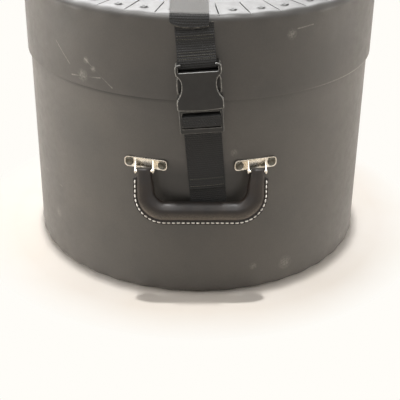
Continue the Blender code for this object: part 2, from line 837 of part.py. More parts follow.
def make_rivets():
    """The rivets through the walls and the places of their holes in the base, the lid and the straps."""
    holes = {"base": [], "lid": [], "lower_strap": [], "strap_back": []}
    for side, word in ((-1, "left"), (1, "right")):
        for i, (point, direction) in enumerate(plate_rivet_places(side)):
            grip = wall_grip(point, direction, base_outer_radius)
            rivet(f"plate_rivet_{word}_{i + 1}", point, direction, grip)
            holes["base"].append((point, direction))
    anchors = (("lower_strap", front_anchor_height, front_anchor_place, "front"),
               ("strap_back", back_anchor_height, back_anchor_place, "back"))
    for strap, height, place, word in anchors:
        for i, (point, direction) in enumerate(strap_rivet_places(height, place)):
            grip = wall_grip(point, direction, base_outer_radius)
            rivet(f"strap_rivet_{word}_{i + 1}", point, direction, grip)
            holes["base"].append((point, direction))
            holes[strap].append((point, direction))
    low, high = seam_end_margin, lid_edge - seam_end_margin
    for i, (point, direction) in enumerate(seam_places(base_outer_radius, low, high, base_seam_rivet_count)):
        grip = wall_grip(point, direction, base_outer_radius) + fibre_thickness
        rivet(f"base_seam_rivet_{i + 1}", point, direction, grip)
        holes["base"].append((point, direction))
    low, high = lid_edge + seam_end_margin, top_face - seam_end_margin
    lid_rivets = []
    burr_height = slip_gap - 2 * seat_gap
    for i, (point, direction) in enumerate(seam_places(lid_outer_radius, low, high, lid_seam_rivet_count)):
        point += direction * fibre_thickness
        grip = wall_grip(point, direction, lid_outer_radius)
        lid_rivets.append(rivet(f"lid_seam_rivet_{i + 1}", point, direction, grip, burr_height))
        holes["lid"].append((point, direction))
    return holes, lid_rivets


def main():
    clear_scene()
    base_shell = tabbed_shell("base_shell", base_outer_radius, base_rim, bottom_face)
    disc("base_disc", base_outer_radius, 0, 1)
    lid_shell = tabbed_shell("lid_shell", lid_outer_radius, lid_edge, top_face)
    lid_disc = disc("lid_disc", lid_outer_radius, lid_disc_low + fibre_thickness, -1)
    base_inner = base_outer_radius - fibre_thickness
    base_lap = seam_lap("base_lap", base_inner - fibre_thickness, base_inner + fibre_thickness / 2,
                        fibre_thickness + seat_gap, base_rim)
    lid_lap = seam_lap("lid_lap", lid_outer_radius - fibre_thickness / 2, lid_outer_radius + fibre_thickness,
                       lid_edge, top_face - fold_radius)
    combine(base_shell, base_lap, "UNION")
    combine(lid_shell, lid_lap, "UNION")

    strap_top = make_top_strap()
    strap_back = make_back_strap()
    loop = make_buckle_loop()
    socket = make_socket()
    lower_strap = make_lower_strap()
    make_plug()
    for side in (-1, 1):
        make_prong(side)
        make_plate(side)
        make_pin(side)
    make_handle(add_pivot("handle_swing", (0, pin_y, pin_height)))

    holes, lid_rivets = make_rivets()
    reach = 2 * (overrun + fibre_thickness)
    drilled = {"base": base_shell, "lid": lid_shell, "lower_strap": lower_strap, "strap_back": strap_back}
    for word, piece in drilled.items():
        cutter = holes_cutter(word + "_holes", holes[word], rivet_shank_radius + seat_gap, reach)
        combine(piece, cutter, "DIFFERENCE")

    lid_pivot = add_pivot("lid_slide", (0, 0, 0))
    for piece in (lid_shell, lid_disc, strap_top, loop, socket, *lid_rivets):
        hang(piece, lid_pivot)


main()
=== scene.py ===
import math
import random
from functools import partial

import bmesh
import bpy
from bpy.props import FloatProperty, FloatVectorProperty, IntProperty, PointerProperty
from mathutils import Matrix, Vector


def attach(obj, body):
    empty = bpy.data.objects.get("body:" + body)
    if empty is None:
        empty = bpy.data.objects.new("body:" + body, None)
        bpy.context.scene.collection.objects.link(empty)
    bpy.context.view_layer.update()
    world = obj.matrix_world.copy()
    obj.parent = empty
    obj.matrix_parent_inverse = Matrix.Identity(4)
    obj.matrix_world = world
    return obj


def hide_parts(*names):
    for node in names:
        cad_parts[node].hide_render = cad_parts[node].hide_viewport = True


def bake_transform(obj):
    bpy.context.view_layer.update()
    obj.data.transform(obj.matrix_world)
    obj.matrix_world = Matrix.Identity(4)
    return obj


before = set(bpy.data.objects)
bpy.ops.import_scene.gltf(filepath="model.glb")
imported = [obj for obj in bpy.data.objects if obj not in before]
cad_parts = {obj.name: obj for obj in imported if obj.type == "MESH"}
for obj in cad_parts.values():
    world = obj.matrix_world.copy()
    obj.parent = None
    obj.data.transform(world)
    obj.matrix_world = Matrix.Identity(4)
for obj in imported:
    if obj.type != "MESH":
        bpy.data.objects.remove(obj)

bl_info = {
    "name": "Drum case",
    "version": (1, 0, 0),
    "blender": (4, 5, 0),
    "location": "View3D > Sidebar > Drum case",
    "description": "Dresses the packed drum case in fibre, webbing, leather and metal",
    "category": "Object",
}

# Sizes in metres. Most are those of the frame's solids; the buckle's halves and the handle's parts
# differ from them by a few millimetres, as in the photograph.

LID_RADIUS = 0.2000
BASE_RADIUS = 0.1968
LID_EDGE = 0.2275
LID_FACE = 0.3145
BASE_RIM = 0.3095
BASE_FACE = -0.0025
FLOOR = -0.0037
FOLD_RADIUS = 0.0060
TAB_REACH = 0.0460
TAB_HELD = 0.0160
RIVET_INSET = 0.0200
GAP = 0.0003

BUCKLE_LEAN = math.radians(5.0)
HALVES_LEAN = math.radians(4.2)
BUCKLE_X = -0.0010
MOUTH_HEIGHT = 0.2233
STRAP_X = -0.0128
STRAP_END = 0.30455
LEG_END = 0.2960
BACK_ANCHOR = 0.1720
FRONT_ANCHOR = 0.1040
TAIL_END = 0.1300
ANCHOR_SPACING = 0.0200
ANCHOR_TO_END = 0.0090

SLOT_HALF = 0.0196
SOCKET_BODY = 0.0393
SOCKET_SLOT = 0.0032
SOCKET_END = 0.0478
SOCKET_HALF = 0.0232
SOCKET_LOW = 0.0006
SOCKET_HIGH = 0.0126
BAR_LOW = 0.00285
BAR_HIGH = 0.00645
PLUG_HALF = 0.0220
PLUG_LOW = 0.0038
PLUG_HIGH = 0.0094
PLUG_CROSS = -0.0038
PLUG_BAR_TOP = -0.0088
PLUG_BAR_END = -0.0184
PLUG_SLIT_END = -0.0214
PLUG_END = -0.0266

PLATE_HEIGHT = 0.1538
PLATE_AZIMUTH = math.radians(16.84)
PIN_Y = -0.19903
PIN_HEIGHT = 0.1494
EAR_X = 0.0587
EAR_SPACING = 0.0182
HANDLE_LEAN = math.radians(10.80)
HANDLE_DROP = 0.0436
HANDLE_CORNER = 0.0210
FLANGE_REACH = 0.0040

SEAM_AZIMUTH = math.radians(133.846)
SEAM_HALF = math.radians(4.6)
SEAM_GAP = 0.00003


def linear(code):
    """An sRGB hex colour as the linear RGBA that the shaders take."""
    values = [int(code[i:i + 2], 16) / 255 for i in (1, 3, 5)]
    return [v / 12.92 if v <= 0.04045 else ((v + 0.055) / 1.055) ** 2.4 for v in values] + [1.0]


def colour(name, description, code):
    return FloatVectorProperty(name=name, description=description, subtype="COLOR", size=4,
                               min=0, max=1, default=linear(code))


def amount(name, description, value, unit="NONE"):
    return FloatProperty(name=name, description=description, unit=unit, min=0, default=value)


def length(name, description, metres):
    return FloatProperty(name=name, description=description, unit="LENGTH", min=0,
                         precision=5, default=metres)


class FibreSettings(bpy.types.PropertyGroup):
    black: colour("Fibre", "Main tone of the fibre sheet", "#403d39")
    warm: colour("Warm patches", "Slightly browner tone that clouds the sheet", "#47433e")
    scuff: colour("Scuffs", "Pale dust and rubbed marks", "#8d8880")
    thickness: length("Thickness", "Thickness of the fibre sheet", 0.0022)
    tabs: IntProperty(name="Tabs", description="Folded tabs round each end", default=39, min=12)
    slit: length("Slit", "Width of the slit between two tabs", 0.0009)
    scallop: length("Scallop", "How far the fold stands proud in the middle of each tab", 0.0009)


class WebbingSettings(bpy.types.PropertyGroup):
    yarn: colour("Yarn", "Colour of the polypropylene yarn", "#0c0b0a")
    # The crowns' colour is painted light on the ribs.
    lit: colour("Crowns", "Colour on the crowns of the ribs, rubbed a little grey", "#3a3936")
    width: length("Width", "Width of the webbing", 0.0380)
    thickness: length("Thickness", "Thickness of the webbing", 0.0015)
    rib: length("Rib", "Distance from one cross rib of the weave to the next", 0.0024)


class BuckleSettings(bpy.types.PropertyGroup):
    body: colour("Buckle", "Colour of the moulded buckle", "#161513")
    edge: length("Edge radius", "Radius of the moulded edges", 0.0010)


class HandleSettings(bpy.types.PropertyGroup):
    leather: colour("Leather", "Colour of the waxed leather", "#1b1511")
    thread: colour("Thread", "Colour of the waxed thread", "#fffbf2")
    stitch: length("Stitch", "Length of one stitch", 0.0041)
    pitch: length("Pitch", "Distance from one stitch to the next", 0.00515)
    nickel: colour("Nickel", "Colour of the plated steel", "#f0e8da")
    dark_steel: colour("Dark steel", "Colour of the blackened rivets", "#565249")


class StageSettings(bpy.types.PropertyGroup):
    floor: colour("Floor", "Colour of the pale floor", "#f0e7dc")
    overhead: amount("Overhead", "Light that falls straight down", 1.75)
    sides: amount("Sides", "Power of each of the two side lamps", 64, "POWER")
    back: amount("Back", "Power of the panel behind the case, for gloss", 78, "POWER")
    top: amount("Top", "Power of the panel over the case, for gloss", 24, "POWER")
    sky: amount("Surround", "Strength of the pale surround", 0.275)


# Selecting, adding and finishing meshes


def clear_selection():
    if bpy.context.mode != "OBJECT":
        bpy.ops.object.mode_set(mode="OBJECT")
    bpy.ops.object.select_all(action="DESELECT")


def pick(*objects):
    """Selects only these objects, the first of them active."""
    clear_selection()
    for obj in objects:
        obj.select_set(True)
    bpy.context.view_layer.objects.active = objects[0]


def edit(obj, mode="FACE"):
    """Goes into edit mode on one object with all of it selected."""
    pick(obj)
    bpy.ops.object.mode_set(mode="EDIT")
    bpy.ops.mesh.select_mode(type=mode)
    bpy.ops.mesh.select_all(action="SELECT")


def leave_edit():
    bpy.ops.object.mode_set(mode="OBJECT")


def select_faces(obj, test):
    """In edit mode, selects the faces that pass a test of their place or normal."""
    bpy.ops.mesh.select_all(action="DESELECT")
    bm = bmesh.from_edit_mesh(obj.data)
    for face in bm.faces:
        face.select_set(test(face))
    bmesh.update_edit_mesh(obj.data)


def named(obj, name):
    obj.name = name
    obj.data.name = name
    return obj


def modify(obj, kind, **settings):
    """Adds a modifier, sets it and applies it."""
    pick(obj)
    modifier = obj.modifiers.new(kind.title(), kind)
    for key, value in settings.items():
        setattr(modifier, key, value)
    bpy.ops.object.modifier_apply(modifier=modifier.name)
    return obj


def close_seams(obj):
    edit(obj)
    bpy.ops.mesh.remove_doubles(threshold=2e-6)
    bpy.ops.mesh.normals_make_consistent(inside=False)
    leave_edit()
    return obj


def face_outwards(obj):
    """Turns a wall's faces over if they look in at the case's middle."""
    face = next(f for f in obj.data.polygons if abs(f.normal.z) < 0.01)
    if face.normal.dot(Vector((face.center.x, face.center.y, 0))) < 0:
        edit(obj)
        bpy.ops.mesh.flip_normals()
        leave_edit()


def add_materials(obj, *materials):
    for material in materials:
        obj.data.materials.append(material)


def round_edges(obj, width, segments=2, angle=40, edge_material=-1):
    """Rounds the sharp edges, whose new faces can get a material of their own."""
    return modify(obj, "BEVEL", width=width, segments=segments, limit_method="ANGLE",
                  angle_limit=math.radians(angle), use_clamp_overlap=True, material=edge_material)


def round_some(obj, test, width, edge_material=0):
    """Rounds the edges whose two ends pass a test of their places."""
    edit(obj, "EDGE")
    bpy.ops.mesh.select_all(action="DESELECT")
    bm = bmesh.from_edit_mesh(obj.data)
    for line in bm.edges:
        line.select_set(test(*(v.co for v in line.verts)))
    bmesh.update_edit_mesh(obj.data)
    bpy.ops.mesh.bevel(offset=width, segments=3, affect="EDGES", loop_slide=False,
                       material=edge_material)
    leave_edit()
    return obj


def smooth(obj, angle=38):
    pick(obj)
    bpy.ops.object.shade_smooth_by_angle(angle=math.radians(angle))
    return obj


def settle(obj, matrix):
    """Puts a piece at its place in the world, with the place in its mesh."""
    pick(obj)
    obj.matrix_world = matrix
    bpy.ops.object.transform_apply(location=True, rotation=True, scale=True)
    return obj


def lay_grid(name, across, along, place):
    """A grid with each point put at place(across, row), and a UV map in metres."""
    clear_selection()
    columns = len(across) - 1
    rows = len(along) - 1
    bpy.ops.mesh.primitive_grid_add(x_subdivisions=columns, y_subdivisions=rows, size=1)
    obj = named(bpy.context.object, name)
    mesh = obj.data
    cells = [(round((v.co.x + 0.5) * columns), round((v.co.y + 0.5) * rows)) for v in mesh.vertices]
    layer = mesh.uv_layers.active
    for loop in mesh.loops:
        i, j = cells[loop.vertex_index]
        layer.data[loop.index].uv = (across[i], along[j])
    for vertex, (i, j) in zip(mesh.vertices, cells):
        vertex.co = place(across[i], j)
    return obj


def bead(shape):
    """A small ball with each of its points (x, y, z) moved to shape(x, y, z)."""
    clear_selection()
    bpy.ops.mesh.primitive_uv_sphere_add(segments=8, ring_count=6, radius=1)
    obj = bpy.context.object
    for vertex in obj.data.vertices:
        vertex.co = shape(*vertex.co)
    return obj


def turned(name, profile, steps=32):
    """A piece spun round the Z axis from a profile of (radius, height) points."""
    obj = lay_grid(name, [0, 1], list(range(len(profile))),
                   lambda u, j: Vector((profile[j][0], 0, profile[j][1])))
    edit(obj, "VERT")
    bpy.ops.mesh.remove_doubles(threshold=1e-7)
    bpy.ops.mesh.select_all(action="SELECT")
    bpy.ops.mesh.spin(steps=steps, angle=2 * math.pi, center=(0, 0, 0), axis=(0, 0, 1))
    leave_edit()
    return close_seams(obj)


def outline_solid(name, outline, low, high):
    """A filled circle reshaped to an outline of (x, y) points and extruded from low to high."""
    clear_selection()
    bpy.ops.mesh.primitive_circle_add(vertices=len(outline), radius=1, fill_type="NGON")
    obj = named(bpy.context.object, name)
    for vertex, (x, y) in zip(obj.data.vertices, outline):
        vertex.co = (x, y, low)
    edit(obj)
    bpy.ops.mesh.extrude_region_move(TRANSFORM_OT_translate={"value": (0, 0, high - low)})
    bpy.ops.mesh.select_all(action="SELECT")
    bpy.ops.mesh.normals_make_consistent(inside=False)
    leave_edit()
    return obj


def block(low, high):
    """A plain box that only cuts another piece."""
    clear_selection()
    middle = [(a + b) / 2 for a, b in zip(low, high)]
    bpy.ops.mesh.primitive_cube_add(size=1, location=middle)
    obj = bpy.context.object
    obj.scale = [b - a for a, b in zip(low, high)]
    pick(obj)
    bpy.ops.object.transform_apply(location=True, rotation=True, scale=True)
    return obj


def combine(obj, other, operation="DIFFERENCE"):
    modify(obj, "BOOLEAN", operation=operation, solver="EXACT", object=other)
    bpy.data.objects.remove(other, do_unlink=True)
    return obj


def copies(obj, places, name):
    """Copies of one piece, each with its own mesh, set at the places and joined under one name."""
    made = []
    for place in places:
        pick(obj)
        bpy.ops.object.duplicate(linked=False)
        made.append(settle(bpy.context.object, place))
    bpy.data.objects.remove(obj, do_unlink=True)
    pick(*made)
    bpy.ops.object.join()
    return named(bpy.context.object, name)


def hand_over(obj, body, slot, material, *nodes, edges=None):
    """Gives a finished piece its material, its body and the solids that it stands for."""
    indices = [face.material_index for face in obj.data.polygons]
    obj.data.materials.clear()
    add_materials(obj, material)
    if edges:
        add_materials(obj, edges)
        obj.data.polygons.foreach_set("material_index", indices)
    if body:
        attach(obj, body)
    if nodes:
        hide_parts(*nodes)
    return obj


X_AXIS, Y_AXIS, Z_AXIS = Vector((1, 0, 0)), Vector((0, 1, 0)), Vector((0, 0, 1))


def frame_of(origin, x_axis, y_axis, z_axis):
    matrix = Matrix((x_axis, y_axis, z_axis)).transposed().to_4x4()
    matrix.translation = origin
    return matrix


def around(radius, azimuth, z):
    """A point at an azimuth that counts from the front, -Y, towards +X."""
    return Vector((radius * math.sin(azimuth), -radius * math.cos(azimuth), z))


def ease(low, high, value):
    t = min(1, max(0, (value - low) / (high - low)))
    return t * t * (3 - 2 * t)


# Materials


def add_node(tree, kind, *values, sockets=None, output=0, **settings):
    """Adds a node, sets its properties, sets or links its sockets, which are given in order (None
    leaves one as it is) or by name, and returns one of its outputs."""
    node = tree.nodes.new("ShaderNode" + kind)
    for key, value in settings.items():
        setattr(node, key, value)
    given = {i: value for i, value in enumerate(values) if value is not None}
    for socket, value in {**given, **(sockets or {})}.items():
        if isinstance(value, bpy.types.NodeSocket):
            tree.links.new(value, node.inputs[socket])
        else:
            node.inputs[socket].default_value = value
    return node.outputs[output] if node.outputs else None


def start_material(name):
    """An empty material, and the function that adds nodes to it."""
    material = bpy.data.materials.get(name) or bpy.data.materials.new(name)
    material.use_nodes = True
    material.node_tree.nodes.clear()
    return material, partial(add_node, material.node_tree)


def end_material(add, **sockets):
    """The shader with its sockets, whose names are written with _ for a space, and the output."""
    sockets = {key.replace("_", " "): value for key, value in sockets.items()}
    add("OutputMaterial", add("BsdfPrincipled", sockets=sockets))


def mottle(add, coords, millimetres, detail, roughness, *span):
    """Noise with blobs about so many millimetres across, stretched from the first two values of
    its span to the last two, or to 0 and 1."""
    blobs = add("TexNoise", coords, None, 1000 / millimetres, detail, roughness)
    return add("MapRange", blobs, *span)


def mottled_tone(add, coords, one, two, *spots):
    """One colour with mottled patches of another."""
    return add("Mix", mottle(add, coords, *spots), output=2, data_type="RGBA",
               sockets={6: one, 7: two})


# Marks on the walls, as (azimuth in degrees from the front, height) and half width

SCRATCHES = (
    ((-48.97, 0.2673), (-42.77, 0.2468), 0.0007),
    ((-36.52, 0.2580), (-26.94, 0.2327), 0.0008),
    ((-42.16, 0.2362), (-31.00, 0.2408), 0.0010),
    ((28.30, 0.2953), (33.72, 0.2968), 0.0009),
    ((-64.45, 0.0967), (-52.43, 0.0905), 0.0008),
)
SMUDGES = (
    ((-35.95, 0.2565), 0.0045),
    ((-33.43, 0.2487), 0.0040),
    ((-37.59, 0.2390), 0.0080),
    ((26.42, 0.2905), 0.0065),
    ((17.60, 0.0266), 0.0055),
    ((29.50, 0.0217), 0.0100),
    ((60.03, 0.0149), 0.0060),
    ((10.09, 0.1680), 0.0050),
    ((-56.06, 0.0518), 0.0070),
)
# Height of the middle of the painted shade behind the grip.
GRIP_SHADE_HEIGHT = 0.1270


def on_wall(azimuth, z):
    return around(LID_RADIUS if z > LID_EDGE else BASE_RADIUS, math.radians(azimuth), z)


def scratch_mask(add, coords, start, end, radius):
    """1 on the line from start to end and 0 beyond the radius."""
    run = end - start
    offset = add("VectorMath", coords, start, operation="SUBTRACT")
    along = add("VectorMath", offset, run / run.length_squared, output=1, operation="DOT_PRODUCT")
    share = add("MapRange", along, 0, 1)
    foot = add("VectorMath", run, sockets={"Scale": share}, operation="SCALE")
    away = add("VectorMath", offset, foot, output=1, operation="DISTANCE")
    return add("MapRange", away, radius * 0.3, radius, 1, 0)


def smudge_mask(add, coords, centre, radius):
    away = add("VectorMath", coords, centre, output=1, operation="DISTANCE")
    return add("MapRange", away, 0, radius, 1, 0)


def mark_mask(add, coords, breaks):
    """1 on the scratches and smudges, broken up."""
    marks, patches = 0.0, 0.0
    for start, end, radius in SCRATCHES:
        mark = scratch_mask(add, coords, on_wall(*start), on_wall(*end), radius)
        marks = add("Math", marks, mark, operation="MAXIMUM")
    for centre, radius in SMUDGES:
        patch = smudge_mask(add, coords, on_wall(*centre), radius)
        patches = add("Math", patches, patch, operation="MAXIMUM")
    torn = add("Math", breaks, 2.2, operation="POWER")
    return add("Math", add("Math", marks, breaks, operation="MULTIPLY"),
               add("Math", patches, torn, operation="MULTIPLY"), operation="ADD")


def painted_shade_behind_grip_mask(add, coords):
    """1 on the patch of wall behind the grip, where shade is painted dark."""
    x, y, z = add("SeparateXYZ", coords).node.outputs
    z = add("Math", z, GRIP_SHADE_HEIGHT, operation="SUBTRACT")
    wide = add("MapRange", add("Math", x, operation="ABSOLUTE"), 0.038, 0.054, 1, 0)
    high = add("MapRange", add("Math", z, operation="ABSOLUTE"), 0.016, 0.034, 1, 0)
    inside = add("Math", wide, high, operation="MULTIPLY")
    front = add("MapRange", y, -0.170, -0.150, 0.75, 0)
    return add("Math", inside, front, operation="MULTIPLY")


def painted_shadow_under_lid_mask(add, x, z):
    """1 on the painted shadow that the lid's edge casts on the base just below it, strongest at the
    left.
    """
    line = add("Math", add("MapRange", z, LID_EDGE - 0.0050, LID_EDGE - 0.0010),
               add("MapRange", z, LID_EDGE - 0.0002, LID_EDGE, 1, 0), operation="MULTIPLY")
    line = add("Math", line, add("MapRange", x, -0.172, -0.130), operation="MULTIPLY")
    return add("Math", line, add("MapRange", x, -0.070, 0.030, 1.0, 0.25), operation="MULTIPLY")


def edge_mask(add, x, z):
    """1 on a thin band along the lid's lower edge, at the right, where the tone is made paler."""
    away = add("Math", add("Math", z, LID_EDGE + 0.0004, operation="SUBTRACT"),
               operation="ABSOLUTE")
    return add("Math", add("MapRange", away, 0.0005, 0.0012, 1, 0),
               add("MapRange", x, 0.105, 0.150), operation="MULTIPLY")


def mottled_material(name, tones, spots, gloss, **sockets):
    """A material whose tone and gloss are both mottled, each given as mottle's values."""
    material, add = start_material(name)
    coords = add("TexCoord", output="Object")
    end_material(add, Base_Color=mottled_tone(add, coords, *tones, *spots),
                 Roughness=mottle(add, coords, *gloss), **sockets)
    return material


def vulcanised_fibre_calendered():
    """Vulcanised fibre, black, rolled smooth: a satin sheet with a faint cloudy tone, a fine paper
    grain in its gloss, and pale rubbed marks where it has been carried and set down. The base is
    painted lighter than the lid, with painted shade behind the grip and a painted shadow under the
    lid's edge."""
    settings = bpy.context.scene.case_fibre
    material, add = start_material("vulcanised_fibre_calendered")
    coords = add("TexCoord", output="Object")
    x, _, z = add("SeparateXYZ", coords).node.outputs
    tone = mottled_tone(add, coords, settings.black[:], settings.warm[:], 70, 3, 0.6, 0.35, 0.65)
    # Fine flecks, with painted light and shade by height: the wall below 0.21 m is painted lighter
    # and the lid darker.
    flecks_and_painted_height_shade = add("Math", mottle(add, coords, 1.6, 3, 0.7, 0.30, 0.70, 0.92, 1.08),
                 add("MapRange", z, 0.21, 0.235, 1.25, 0.92), operation="MULTIPLY")
    tone = add("Mix", 1.0, output=2, data_type="RGBA", blend_type="MULTIPLY",
               sockets={6: tone, 7: flecks_and_painted_height_shade})
    breaks = mottle(add, coords, 2.4, 4, 0.8, 0.36, 0.58, 0.25, 1.0)
    edge = add("Math", edge_mask(add, x, z), breaks, operation="MULTIPLY")
    pale_share = add("Math", mark_mask(add, coords, breaks), edge, operation="MAXIMUM")
    rubbed = add("Math", mottle(add, coords, 26, 5, 0.75, 0.60, 0.80, 0, 0.10), breaks,
                 operation="MULTIPLY")
    pale_share = add("Math", add("Math", pale_share, rubbed, operation="ADD"), 1.0, operation="MINIMUM")
    tone = add("Mix", add("Math", pale_share, 0.70, operation="MULTIPLY"), output=2, data_type="RGBA",
               sockets={6: tone, 7: settings.scuff[:]})
    # Painted shade behind the grip and a painted shadow along the base under the lid's edge, in one
    # near-black tone.
    dark = add("Math", painted_shade_behind_grip_mask(add, coords), painted_shadow_under_lid_mask(add, x, z), operation="MAXIMUM")
    tone = add("Mix", dark, output=2, data_type="RGBA", sockets={6: tone, 7: linear("#1d1b18")})
    gloss = add("Math", mottle(add, coords, 9, 4, 0.6, 0.3, 0.7, 0.38, 0.47),
                add("Math", pale_share, 0.12, operation="MULTIPLY"), operation="ADD")
    dents = add("Bump", sockets={"Height": add("TexNoise", coords, None, 1000 / 90, 1),
                                 "Distance": 0.0008})
    grain = add("Bump", sockets={"Height": add("TexNoise", coords, None, 1000 / 1.3, 3, 0.6),
                                 "Distance": 0.000035, "Normal": dents})
    end_material(add, Base_Color=tone, Roughness=gloss, Normal=grain, IOR=1.58)
    return material


def webbing_woven():
    """Polypropylene webbing, woven with a rib across it: dull black yarn whose ribs catch a soft
    light on their crowns, painted into its colour, in two rows of slanted yarns a rib. The rib is
    drawn at its real size. Flat on the lid it is painted paler, for dust and as a painted sheen,
    and its sheen is turned up there."""
    settings = bpy.context.scene.case_webbing
    material, add = start_material("webbing_woven")
    flat = add("UVMap")
    across, along, _ = add("SeparateXYZ", flat).node.outputs
    wobble = add("Math", add("TexNoise", flat, None, 1000 / 12), 0.0006, operation="MULTIPLY")
    rib_turn = add("Math", add("Math", along, wobble, operation="ADD"), math.pi / settings.rib,
                   operation="MULTIPLY")
    rib = add("Math", add("Math", rib_turn, operation="SINE"), operation="ABSOLUTE")
    slant = add("Math", rib_turn, 0.5, operation="MULTIPLY")
    yarn_turn = add("Math", across, math.pi / 0.0016, slant, operation="MULTIPLY_ADD")
    yarn = add("Math", add("Math", yarn_turn, operation="SINE"), operation="ABSOLUTE")
    weave = add("Math", add("Math", rib, 0.7, operation="POWER"),
                add("Math", yarn, 0.5, operation="POWER"), operation="MULTIPLY")
    # Painted light on the ribs' crowns.
    crown = add("Math", add("MapRange", weave, 0.35, 1.0),
                mottle(add, flat, 0.9, 3, 0.7, 0.3, 0.7), operation="MULTIPLY")
    tone = add("Mix", crown, output=2, data_type="RGBA",
               sockets={6: settings.yarn[:], 7: settings.lit[:]})
    melted = add("Math", add("MapRange", along, 0.0005, 0.0012, 0.45, 0),
                 mottle(add, flat, 5, 2, 0.5, 0.40, 0.60), operation="MULTIPLY")
    tone = add("Mix", melted, output=2, data_type="RGBA", sockets={6: tone, 7: linear("#8b867a")})
    # Paler where the webbing lies flat on the lid: dust, and a painted sheen.
    dust_and_painted_sheen = add("Attribute", output="Fac", attribute_name="dust_and_painted_sheen")
    tone = add("Mix", add("Math", dust_and_painted_sheen, 0.7, operation="MULTIPLY"), output=2, data_type="RGBA",
               sockets={6: tone, 7: linear("#8f8a83")})
    edge = settings.width / 2 - 0.0022
    selvedge = add("MapRange", add("Math", across, operation="ABSOLUTE"), edge, edge + 0.0006,
                   0, 0.3)
    height = add("Math", weave, selvedge, operation="ADD")
    ribs = add("Bump", sockets={"Height": height, "Distance": 0.00055})
    end_material(add, Base_Color=tone, Roughness=0.60, Normal=ribs, Specular_IOR_Level=0.42,
                 IOR=1.49, Sheen_Weight=dust_and_painted_sheen, Sheen_Roughness=0.5)
    return material


def acetal_moulded():
    """Acetal, injection moulded in a lightly grained mould: black plastic with a soft waxy
    gloss."""
    body = bpy.context.scene.case_buckle.body[:]
    material, add = start_material("acetal_moulded")
    coords = add("TexCoord", output="Object")
    tone = mottled_tone(add, coords, body, linear("#1d1c1a"), 8, 3, 0.5, 0.35, 0.65)
    gloss = mottle(add, coords, 3, 3, 0.5, 0.3, 0.7, 0.30, 0.42)
    grain = add("Bump", sockets={"Height": add("TexNoise", coords, None, 1000 / 0.5),
                                 "Distance": 0.00002})
    end_material(add, Base_Color=tone, Roughness=gloss, Normal=grain, IOR=1.48)
    return material


def acetal_painted_highlight():
    """The same acetal on the moulded edges, polished to a livelier gloss, with a pale grey painted
    highlight in its colour.
    """
    material, add = start_material("acetal_painted_highlight")
    tone = mottled_tone(add, add("TexCoord", output="Object"), linear("#55544f"),
                        linear("#7f7d77"), 2.5, 3, 0.5, 0.35, 0.65)
    end_material(add, Base_Color=tone, Roughness=0.26, Coat_Weight=0.6, Coat_Roughness=0.2,
                 IOR=1.6)
    return material


def cowhide_waxed():
    """Cowhide, black, smooth split with a waxed finish: a close pebble grain and a low sheen
    that draws highlights round the padded grip's corners, dulled in the middle by hands. The grip's
    lower front face is painted paler, a painted light from the pale floor."""
    settings = bpy.context.scene.case_handle
    material, add = start_material("cowhide_waxed")
    coords = add("TexCoord", output="Object")
    x, _, z = add("SeparateXYZ", coords).node.outputs
    tone = mottled_tone(add, coords, settings.leather[:], linear("#261d16"), 14, 3, 0.5, 0.35,
                        0.70)
    # Painted light from the floor: the grip's lower front face is painted paler.
    place = add("SeparateXYZ", add("UVMap"))
    lower = add("Math", add("MapRange", place, 4, 5.5), add("MapRange", place, 6.5, 10, 1, 0),
                operation="MULTIPLY")
    lower = add("Math", lower, add("MapRange", z, 0.106, 0.120, 1, 0.15), operation="MULTIPLY")
    pale_share = add("Math", lower, mottle(add, coords, 1.4, 3, 0.8, 0.35, 0.65, 0.3, 1.0),
               operation="MULTIPLY")
    tone = add("Mix", pale_share, output=2, data_type="RGBA", sockets={6: tone, 7: linear("#6e655a")})
    cells = add("TexVoronoi", coords, None, 1000 / 0.9, feature="SMOOTH_F1")
    grain = add("Bump", sockets={"Height": cells, "Distance": 0.00005})
    creases = add("TexNoise", coords, None, 1000 / 4, 4, 0.7)
    folds = add("Bump", sockets={"Height": creases, "Distance": 0.0001, "Normal": grain})
    gripped = add("MapRange", add("Math", x, operation="ABSOLUTE"), 0.012, 0.042, 0.17, 0.0)
    gloss = add("Math", mottle(add, coords, 6, 3, 0.5, 0.3, 0.7, 0.35, 0.49), gripped,
                operation="ADD")
    end_material(add, Base_Color=tone, Roughness=gloss, Normal=folds, Coat_Weight=0.07,
                 Coat_Roughness=0.30, IOR=1.45)
    return material


def thread_waxed():
    """Twisted polyester thread, waxed: matt, with the twist's slanted ply lines, their grooves
    painted with shade.
    """
    material, add = start_material("thread_white_waxed")
    coords = add("TexCoord", output="Object")
    ply = add("TexWave", coords, 1000 / 1.4 / 6.283, 1.0, output="Fac",
              bands_direction="DIAGONAL")
    # Painted shade in the grooves between the plies.
    tone = add("Mix", add("MapRange", ply, 0, 1, 0.7, 1.0), output=2, data_type="RGBA",
               sockets={6: linear("#e6e0d3"), 7: bpy.context.scene.case_handle.thread[:]})
    twist = add("Bump", sockets={"Height": ply, "Distance": 0.00008})
    end_material(add, Base_Color=tone, Roughness=0.6, Normal=twist)
    return material


def thread_black():
    """The same thread in black, for the seams of the webbing."""
    material, add = start_material("thread_black_waxed")
    tone = mottled_tone(add, add("TexCoord", output="Object"), linear("#37342c"),
                        linear("#625e50"), 0.8, 2, 0.5, 0.3, 0.7)
    end_material(add, Base_Color=tone, Roughness=0.6)
    return material


